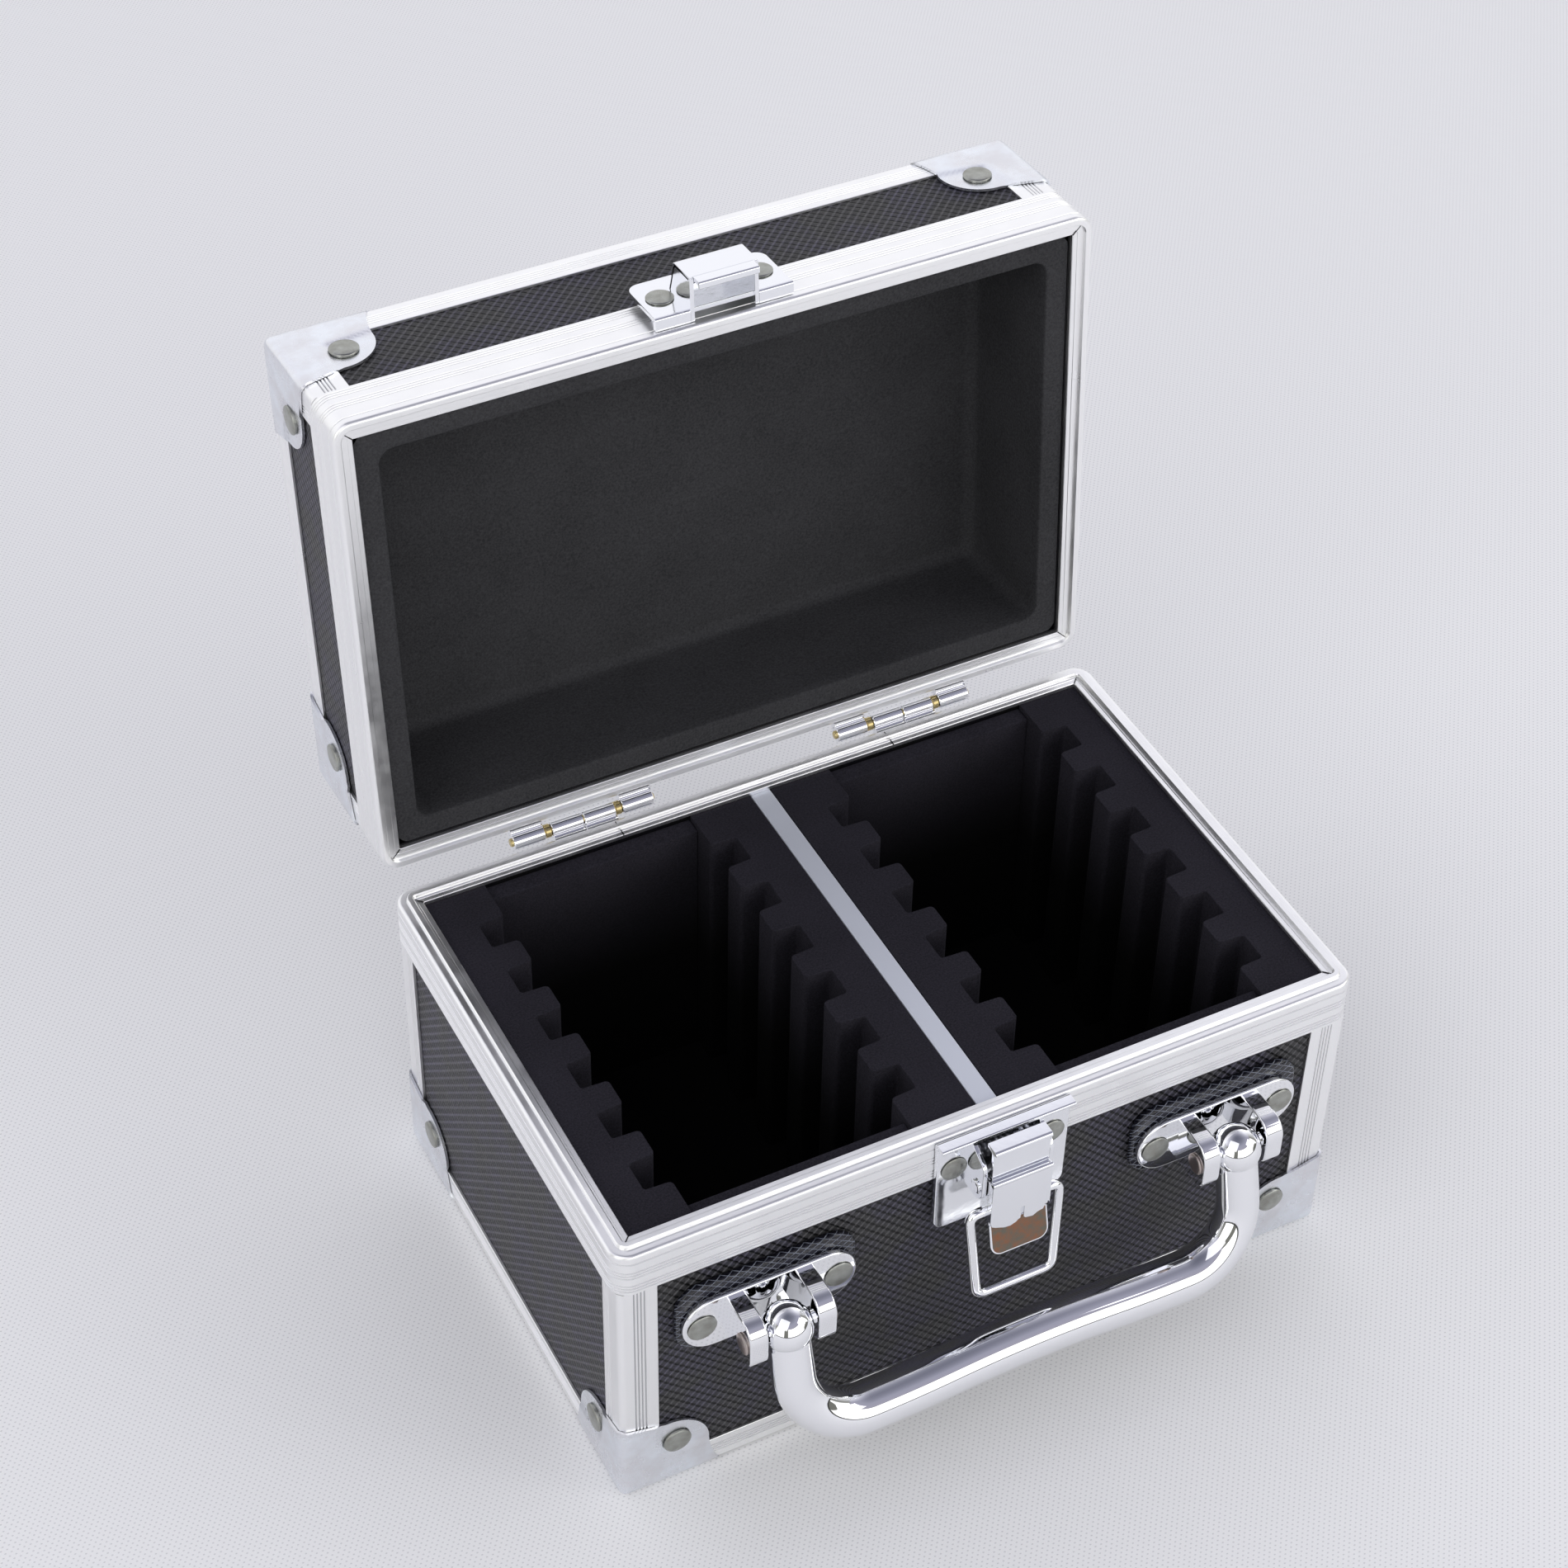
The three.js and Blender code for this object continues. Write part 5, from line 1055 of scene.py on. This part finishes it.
LATCH_Y, LATCH_Z = pivot("latch_release")[1:]
RING_Y, RING_Z = pivot("ring_swing")[1:]
LATCH_TOP = high("latch_plate", 2)
LATCH_R = -(LATCH_Y - FRONT)
PLATE_OUT = 1.3
PLATE_HALF = 16.0
PLATE_UPPER_HALF = 16.2
PLATE_CORNER = 2.6
LATCH_RIVETS = 23.8
CHEEK_INNER = 7.5
CHEEK_SHEET = 1.1
LEVER_HALF = 7.3
LEVER_SHEET = 1.0
WEB_OUT = 9.2
NOSE_RISE = 1
NOSE_BACK = 2.9
COVER_TOP = BASE_HEIGHT - 8.4
COVER_FOOT = BASE_HEIGHT - 23.1
TAB_HALF = 7.1
TAB_BEND = 2.6
RING_LEAN = radians(6)


def apron(half, top, foot, bend, upper_half=None):
    """A sheet from the front, with round lower corners."""
    outline = [(-(upper_half or half), top), *arc((bend - half, foot + bend), bend, 180, 270, 8)]
    return outline + [(-x, z) for x, z in reversed(outline)]


def add_latch_plate():
    form = Form()
    fold = LATCH_TOP - 2.4
    lower = apron(PLATE_HALF, fold, low("latch_plate", 2), PLATE_CORNER, PLATE_UPPER_HALF)
    form.prism(lower, "y", out(PLATE_OUT), out(0.1), bevel=0.25)
    bend, lip, tip = 0.7, 0.5, 3.6
    section = [(PLATE_OUT, fold - 0.02)]
    section += arc((PLATE_OUT + bend, LATCH_TOP - 1 - bend), bend, 180, 90, 6)
    section += arc((tip - lip, LATCH_TOP - lip), lip, -90, 90, 10)
    section += arc((1.1, LATCH_TOP - 1), 1, 90, 180, 6) + [(0.1, fold - 0.02)]
    form.prism(outward(section), "x", -PLATE_UPPER_HALF, PLATE_UPPER_HALF, bevel=0.12)
    top, foot = BASE_HEIGHT - 5, BASE_HEIGHT - 16
    for start in (CHEEK_INNER, -CHEEK_INNER - CHEEK_SHEET):
        cheek = [(0.6, foot), (0.6, top + 3.8), (2.4, top + 3.2), *arc((5.7, top - 1.2), 2.2, 60, 0, 6)]
        cheek += arc((4.4, foot + 3.5), 3.5, 0, -90, 8)
        form.prism(outward(cheek), "x", start, start + CHEEK_SHEET, bevel=0.2)
    for side in (-1, 1):
        place = (side * LATCH_RIVETS / 2, out(PLATE_OUT), BASE_HEIGHT - 9.2)
        form.rivet(FITTING_RIVET, place, FORWARD, rise=0.6, material=1)
    form.finish("latch plate", "base", [PRESSED, RIVET], "chrome")
    pin = Form()
    reach = high("latch_pin", 0)
    pin.lathe([(1.1, -reach), (1.1, reach)], (0, LATCH_Y, LATCH_Z), ACROSS, sides=24)
    for side in (-1, 1):
        pin.rivet(1.7, (side * (reach - 0.5), LATCH_Y, LATCH_Z), (side, 0, 0), rise=0.5)
    pin.finish("latch pin", "base", [CHROME], "chrome")


def add_latch_spring():
    turns, steps, radius, wire = 8, 20, 1.75, 0.28
    reach = high("latch_spring", 0) - wire
    line = []
    for i in range(turns * steps + 1):
        angle = tau * i / steps
        x = -reach + 2 * reach * i / (turns * steps)
        line.append((x, LATCH_Y + radius * cos(angle), LATCH_Z + radius * sin(angle)))
    form = Form()
    form.tube(line, wire, sides=8)
    form.finish("latch spring", "base", [SPRING], "zinc", weighted=False)


def lever_sheet():
    """The bent strip from the side: nose, round front roll, neck and web."""
    rim = BASE_HEIGHT
    neck, back = WEB_OUT - 0.4, WEB_OUT - 1.4
    step, foot = rim - 8.2, COVER_FOOT - 0.4
    roll = 0.8
    outer = [(WEB_OUT, foot), (WEB_OUT, step - 0.8), (neck, step), (neck, rim - 0.1)]
    outer += arc((neck, rim + NOSE_RISE - roll), roll, -20, 90, 8)
    outer += [(neck - NOSE_BACK, rim + NOSE_RISE), (neck - NOSE_BACK, rim - 0.1), (back - 0.3, rim - 0.1)]
    outer += [(back, rim - 0.4), (back, step), (WEB_OUT - 1, step - 0.8), (WEB_OUT - 1, foot)]
    return outward(outer)


def lever_web():
    """A side wall of the lever, round behind the pin."""
    front, eye = 8.7, 2.2
    outline = [(front, LATCH_Z + 3.1), (5.6, LATCH_Z + eye), *arc((LATCH_R, LATCH_Z), eye, 120, 240, 4)]
    outline += [(5.3, RING_Z + 2.2), (5.3, RING_Z - 0.8), (6.3, RING_Z - 2.1), (front, RING_Z - 2.1)]
    return outward(outline)


def cover_outline():
    """The cover plate from the front, with its wavy lower edge and its slit."""
    half, slit, middle = LEVER_HALF, 0.35, 0.6
    left = [(-half, COVER_FOOT + 2.6), (-half + 0.5, COVER_FOOT + 1.2), (-half + 1.4, COVER_FOOT + 0.6)]
    left += [(-half * 0.5, COVER_FOOT - 0.4), (-half * 0.3, COVER_FOOT - 0.6), (-half * 0.1, COVER_FOOT)]
    left.append((middle - slit - 0.6, COVER_FOOT + 0.5))
    left += [(middle - slit, COVER_FOOT + 0.8), (middle - slit, COVER_FOOT + 4.2)]
    right = [(middle + slit, COVER_FOOT + 4.2), (middle + slit, COVER_FOOT + 0.8)]
    right += [(middle + slit + 0.5, COVER_FOOT + 0.2), (half * 0.45, COVER_FOOT - 0.2)]
    right += [(half * 0.62, COVER_FOOT + 0.6), (half * 0.8, COVER_FOOT + 0.9)]
    right += [(half * 0.86, COVER_FOOT + 2.6), (half * 0.94, COVER_FOOT + 2.9), (half, COVER_FOOT + 2.2)]
    return left + right + [(half, COVER_TOP), (-half, COVER_TOP)]


def add_latch_lever():
    form = Form()
    form.prism(lever_sheet(), "x", -6.9, 6.9, bevel=0.12)
    for start in (6.3, -LEVER_HALF):
        form.prism(lever_web(), "x", start, start + LEVER_SHEET, bevel=0.2)
    face = WEB_OUT + 0.95
    form.prism(cover_outline(), "y", out(face), out(WEB_OUT - 0.1), bevel=0.15)
    roll = arc((face - 0.45, COVER_TOP - 0.35), 0.62, 0, 360, 20)[:-1]
    form.prism(outward(roll), "x", -LEVER_HALF, LEVER_HALF, bevel=0.1)
    backing = (COVER_FOOT + 1.2, COVER_TOP - 0.2)
    form.box((-LEVER_HALF, LEVER_HALF), (out(WEB_OUT + 0.25), out(WEB_OUT - 1)), backing, bevel=0.2)
    tab_top, tab_foot = COVER_FOOT + 0.9, low("latch_lever", 2) + 0.2
    tilt = (11.2 - WEB_OUT) / (tab_top - tab_foot)

    def sheet(outline, outer, inner, **options):
        """A sheet that leans outwards towards its foot."""
        faces = [[(x, out(reach + (tab_top - z) * tilt), z) for x, z in outline] for reach in (outer, inner)]
        form.loft(faces, **options)

    sheet(apron(TAB_HALF, tab_top, tab_foot, TAB_BEND), WEB_OUT + 0.3, WEB_OUT - 0.5, bevel=0.22)
    rim = 0.42
    inlay = apron(TAB_HALF - rim, tab_top - 0.1, tab_foot + rim, TAB_BEND - rim)
    sheet(inlay, WEB_OUT + 0.33, WEB_OUT, material=1, bevel=0.02)
    form.finish("latch lever", "latch_lever", [PRESSED, COPPER], "chrome")


def add_pull_ring():
    """A wire loop whose bent ends sit in the lever's webs."""
    top, foot, length, bend = 11.1, 9.4, 24.2, 2.4
    drift = (top - foot) * bend / length

    def at(x, z):
        return Vector((x, RING_Y + z * sin(RING_LEAN), RING_Z + z * cos(RING_LEAN)))

    half = [at(-6.0, 0), at(-7.2, 0), at(-top + bend, 0)]
    half += quadratic(half[-1], at(-top, 0), at(-top + drift, -bend), 8)[1:]
    lower = at(-foot - drift, -length + bend)
    half += [half[-1].lerp(lower, i / 6) for i in range(1, 7)]
    half += quadratic(lower, at(-foot, -length), at(-foot + bend, -length), 8)[1:]
    half += [at(-3, -length), at(0, -length)]
    line = half + [Vector((-p.x, p.y, p.z)) for p in reversed(half[:-1])]
    form = Form()
    form.tube(line, 1.15, sides=20)
    form.finish("pull ring", "pull_ring", [CHROME], "chrome", replaces=["latch_pull_ring"], weighted=False)


# Keeper on the lid

def add_catch():
    foot = LID_RIM + 1.4
    top = foot + 15.3
    half, corner = 16.3, 2.8
    back, front = 1.9, 3.1
    inner, outer = 7.1, 8.1
    wall_in, wall_out = 9.8, 10.8
    high_front, high_back = foot + 8.2, foot + 11.6
    form = Form()
    plate = [(half, foot + 0.6), *arc((half - corner, top - corner), corner, 0, 90, 8)]
    plate += [*arc((corner - half, top - corner), corner, 90, 180, 8), (-half, foot + 0.6)]
    form.prism(plate, "y", out(front), out(back), bevel=0.25)
    fold = arc((front - 0.6, foot + 0.6), 0.6, 0, -90, 6)
    turned = [(front, foot + 0.62), *fold, (0.1, foot), (0.1, foot + 1.2), (back, foot + 1.2)]
    for start, end in ((-half, -outer), (outer, half)):
        form.prism(outward(turned), "x", start, end, bevel=0.15)
    for start in (inner, -outer):
        cheek = [(0.1, foot), (wall_out - 0.2, foot), (wall_out - 0.2, high_front - 0.9)]
        cheek += [(wall_out - 1.2, high_front - 0.2), (0.1, high_back)]
        form.prism(outward(cheek), "x", start, start + 1, bevel=0.15)
    bend = arc((wall_out - 1.1, high_front - 1.0), 1.1, 72, 0, 6)
    inside = [(wall_in, high_front - 1.4), (wall_in - 0.6, high_front - 0.9), (0.1, high_back - 1)]
    roof = [(0.1, high_back), *bend, (wall_out, foot + 0.3), (wall_in, foot + 0.3), *inside]
    form.prism(outward(roof), "x", -outer, outer, bevel=0.2)
    lip_foot = BASE_HEIGHT - 0.8
    curl = arc((wall_out - 0.55, lip_foot + 0.55), 0.55, 0, -90, 6)
    hook = 9.2
    lip = [(wall_out, foot + 0.32), *curl, (hook, lip_foot), (hook, lip_foot + 0.5)]
    lip += [(wall_in, lip_foot + 0.6), (wall_in, foot + 0.32)]
    form.prism(outward(lip), "x", -inner, inner, bevel=0.1)
    for side in (-1, 1):
        x, z = side * 11.75, foot + 7.5
        form.rivet(FITTING_RIVET, (x, out(front), z), FORWARD, rise=0.6, material=1)
        form.lathe([(2.2, 0.1), (2.2, back + 0.1)], (x, FRONT, z), FORWARD, sides=24)
    form.finish("lid catch", "lid", [PRESSED, RIVET], "chrome")


# Hinges

HINGE_X = (low("hinge_right_base_leaf", 0) + high("hinge_right_base_leaf", 0)) / 2
HINGE_LENGTH = 35
KNUCKLE = 1.85
KNUCKLE_GAP = 1.8
KNUCKLE_SEAM = 0.3
KNUCKLE_LENGTH = (HINGE_LENGTH - 2 * KNUCKLE_GAP - KNUCKLE_SEAM) / 4
LEAF_SHEET = 0.9
LEAF_HEIGHT = 13.5


def knuckle_profile(start, end, bore=1.15):
    chamfer = 0.2
    return [
        (bore, start), (KNUCKLE - chamfer, start), (KNUCKLE, start + chamfer),
        (KNUCKLE, end - chamfer), (KNUCKLE - chamfer, end), (bore, end),
    ]


def hinge_leaf(x, inner):
    """A leaf that hangs below the axis, with its own two knuckles."""
    form = Form()
    length = KNUCKLE_LENGTH
    begin = KNUCKLE_SEAM / 2 if inner else KNUCKLE_SEAM / 2 + length + KNUCKLE_GAP
    half = HINGE_LENGTH / 2
    face, back = BACK + 0.1, BACK + 0.1 + LEAF_SHEET
    shoulder = HINGE_Z - KNUCKLE - 0.35
    foot = HINGE_Z - LEAF_HEIGHT
    bend = 1.5
    outline = [(x - half, shoulder), (x - half, foot + bend)]
    turns = (0.4, 0.8, 1.2, pi / 2)
    outline += [(x - half + bend * (1 - cos(a)), foot + bend - bend * sin(a)) for a in turns]
    outline += [(2 * x - a, z) for a, z in reversed(outline)]
    form.prism(outline, "y", face, back, bevel=0.2)
    for side in (-1, 1):
        start = begin if side > 0 else -begin - length
        curl = [(face, shoulder - 0.8), (back, shoulder - 0.8)]
        curl += [*arc((HINGE_Y, HINGE_Z), KNUCKLE, 250, 190, 3), (face, HINGE_Z - 0.35)]
        form.prism(curl, "x", x + start, x + start + length)
        form.lathe(knuckle_profile(start, start + length), (x, HINGE_Y, HINGE_Z), ACROSS)
        form.rivet(1.9, (x + side * 11, back, HINGE_Z - 8.4), (0, 1, 0), rise=0.5, material=1)
    return form


def add_hinges():
    for name, side in (("left", -1), ("right", 1)):
        x = side * HINGE_X
        axis = (x, HINGE_Y, HINGE_Z)
        hinge_leaf(x, True).finish(f"hinge {name} base leaf", "base", [CHROME, RIVET], "chrome")
        upper = hinge_leaf(x, False)
        upper.moved(Matrix.Translation((0, 0, 2 * HINGE_Z)) @ UPSIDE_DOWN)
        upper.finish(f"hinge {name} lid leaf", "lid", [CHROME, RIVET], "chrome")
        pin = Form()
        end = HINGE_LENGTH / 2 + 0.5
        start = KNUCKLE_SEAM / 2 + KNUCKLE_LENGTH + 0.1
        stop = start + KNUCKLE_GAP - 0.2
        pin.lathe([(0.8, -end), (1, -end + 0.2), (1, end - 0.2), (0.8, end)], axis, ACROSS, sides=24)
        for a, b in ((start, stop), (-stop, -start)):
            pin.lathe([(1.35, a), (1.6, a + 0.2), (1.6, b - 0.2), (1.35, b)], axis, ACROSS, sides=28)
        pin.finish(f"hinge {name} pin", "base", [BRASS], "brass")


# Floor, light and camera

# The cloth's dots: how far apart its rows and columns are in millimetres, and the two colours
FLOOR_ROW = 0.95
FLOOR_COLUMN = 1.4
FLOOR_COLOUR = (0.95, 0.95, 0.95)
FLOOR_DOT = (0.72, 0.72, 0.73)


def add_floor():
    """A wide cloth, a tenth of a millimetre under the case."""
    size, level = 8.0, -0.0001
    data = bpy.data.meshes.new("floor")
    points = [(x * size, y * size, level) for x, y in ((-1, -1), (1, -1), (1, 1), (-1, 1))]
    data.from_pydata(points, [], [(0, 1, 2, 3)])
    floor = bpy.data.objects.new("floor", data)
    bpy.context.scene.collection.objects.link(floor)
    material, tree, shader = new_material("floor cloth", (0.9, 0.9, 0.9), 0.0, 0.7)
    parts = add_node(tree, "ShaderNodeSeparateXYZ", {0: place_of(tree)})
    row = calculate(tree, "MULTIPLY", parts.outputs[1], 1 / FLOOR_ROW)
    shift = calculate(tree, "MULTIPLY", calculate(tree, "FLOOR", row), 0.5)
    column = calculate(tree, "ADD", calculate(tree, "MULTIPLY", parts.outputs[0], 1 / FLOOR_COLUMN), shift)
    u = calculate(tree, "SUBTRACT", calculate(tree, "FRACT", column), 0.5)
    v = calculate(tree, "SUBTRACT", calculate(tree, "FRACT", row), 0.5)
    square = calculate(tree, "ADD", calculate(tree, "MULTIPLY", u, u), calculate(tree, "MULTIPLY", v, v))
    dot = ranged(tree, square, 0.015, 0.05, 1.0, 0.0)
    tree.links.new(tinted(tree, dot, FLOOR_COLOUR, FLOOR_DOT), shader.inputs["Base Color"])
    data.materials.append(material)


def peak(tree, value, centre, half, fade):
    """1 near the centre, falling to 0 over the fade beyond half the width."""
    away = calculate(tree, "ABSOLUTE", calculate(tree, "SUBTRACT", value, centre))
    return ranged(tree, away, half, half + fade, 1.0, 0.0)


def ramp_of(tree, value, stops):
    ramp = add_node(tree, "ShaderNodeValToRGB", {0: value})
    points = ramp.color_ramp.elements
    for i, (position, tone) in enumerate(stops):
        point = points[i] if i < 2 else points.new(position)
        point.position, point.color = position, (*tone, 1)
    return ramp.outputs[0]


# The room's colours from below (0) to above (1), on the camera's side and behind the case
CEILING = (0.14, 0.145, 0.19)
GROUND = (0.8, 0.8, 0.8)
ROOM_SIDE = (
    (0.0, GROUND), (1.0, CEILING), (0.495, GROUND), (0.5, (0.02, 0.02, 0.02)),
    (0.514, (0.03, 0.03, 0.03)), (0.52, (0.17, 0.17, 0.15)), (0.79, (0.2, 0.2, 0.18)),
    (0.815, (0.36, 0.35, 0.43)), (0.9, (0.33, 0.33, 0.41)),
)
ROOM_BACK = (
    (0.0, GROUND), (1.0, CEILING), (0.52, (0.9, 0.9, 0.91)), (0.7, (0.95, 0.95, 0.98)),
    (0.86, (0.88, 0.88, 0.95)), (0.93, (0.5, 0.5, 0.58)),
)
# Middle and half width of each window, as directions to the camera's right, and of both in height
WINDOWS = ((-0.48, 0.27), (0.52, 0.44))
WINDOW_HEIGHT = (0.32, 0.26)
WINDOW_LIGHT = 1.3
ROOM_LEVEL = 1.08


def add_world():
    """A room with two windows behind the camera and a pale backdrop, the same for every kind of ray."""
    world = bpy.data.worlds.new("room")
    bpy.context.scene.world = world
    world.use_nodes = True
    tree = world.node_tree
    direction = add_node(tree, "ShaderNodeTexCoord").outputs["Generated"]
    x, y, z = add_node(tree, "ShaderNodeSeparateXYZ", {0: direction}).outputs
    level = ranged(tree, z, -1, 1, 0, 1)
    side, back = ramp_of(tree, level, ROOM_SIDE), ramp_of(tree, level, ROOM_BACK)
    room = mixed(tree, ranged(tree, y, -0.1, 0.25, 0.0, 1.0), side, back)
    part_x = calculate(tree, "MULTIPLY", x, cos(CAMERA_AZIMUTH))
    part_y = calculate(tree, "MULTIPLY", y, sin(CAMERA_AZIMUTH))
    across = calculate(tree, "ADD", part_x, part_y)
    panes = calculate(tree, "MAXIMUM", *(peak(tree, across, centre, half, 0.01) for centre, half in WINDOWS))
    panes = calculate(tree, "MULTIPLY", panes, peak(tree, z, *WINDOW_HEIGHT, 0.02))
    panes = calculate(tree, "MULTIPLY", panes, ranged(tree, y, -0.1, -0.2, 0.0, WINDOW_LIGHT))
    lit = mixed(tree, 1.0, room, panes, blend_type="ADD")
    background = tree.nodes["Background"]
    tree.links.new(lit, background.inputs["Color"])
    background.inputs["Strength"].default_value = ROOM_LEVEL


def add_lamp(name, place, target, size, power):
    data = bpy.data.lights.new(name, "AREA")
    data.shape = "RECTANGLE"
    data.size, data.size_y = size
    data.energy = power
    lamp = bpy.data.objects.new(name, data)
    lamp.location = place
    lamp.rotation_euler = (Vector(target) - Vector(place)).to_track_quat("-Z", "Y").to_euler()
    bpy.context.scene.collection.objects.link(lamp)


# The camera, solved from points of the case in the photo; its frame is 1900 x 1900
CAMERA_AZIMUTH = radians(-28.177)
CAMERA_ELEVATION = radians(42.779)
CAMERA_ROLL = radians(1.413)
CAMERA_DISTANCE = 794.85
CAMERA_LENS = 79.458
CAMERA_OFFSET = (16.294, -65.152)
CAMERA_SHIFT = (-10.95 / 1900, -9.98 / 1900)


def add_camera():
    azimuth, elevation = CAMERA_AZIMUTH, CAMERA_ELEVATION
    back = Vector((sin(azimuth) * cos(elevation), -cos(azimuth) * cos(elevation), sin(elevation)))
    right = (-back).cross(Vector((0, 0, 1))).normalized()
    up = right.cross(-back)
    turn_c, turn_s = cos(CAMERA_ROLL), sin(CAMERA_ROLL)
    right, up = right * turn_c + up * turn_s, up * turn_c - right * turn_s
    target = Vector((0, 0, BASE_HEIGHT / 2)) - right * CAMERA_OFFSET[0] - up * CAMERA_OFFSET[1]
    data = bpy.data.cameras.new("camera")
    data.lens = CAMERA_LENS
    data.shift_x, data.shift_y = CAMERA_SHIFT
    camera = bpy.data.objects.new("camera", data)
    turn = Matrix((right, up, back)).transposed().to_4x4()
    camera.matrix_world = Matrix.Translation((target + back * CAMERA_DISTANCE) * MM) @ turn
    bpy.context.scene.collection.objects.link(camera)
    bpy.context.scene.camera = camera


dress_panels()
for half_name, shell_height, shell_band in (("base", BASE_HEIGHT, BASE_BAND), ("lid", LID_HEIGHT, LID_BAND)):
    add_rim(half_name, shell_height, shell_band)
    add_extrusions(half_name, shell_height, shell_band)
    add_brackets(half_name)
add_foam()
add_divider_cap()
add_lining()
add_handle()
add_handle_brackets()
add_latch_plate()
add_latch_spring()
add_latch_lever()
add_pull_ring()
add_catch()
add_hinges()
add_floor()
add_world()
add_lamp("key", place=(-0.9, -0.7, 1.5), target=(0, 0, 0.05), size=(1.4, 1.4), power=5)
add_lamp("fill", place=(1.2, -0.9, 0.9), target=(0, 0, 0.08), size=(0.8, 1.0), power=3)
add_camera()
bpy.context.scene.view_settings.view_transform = "Standard"
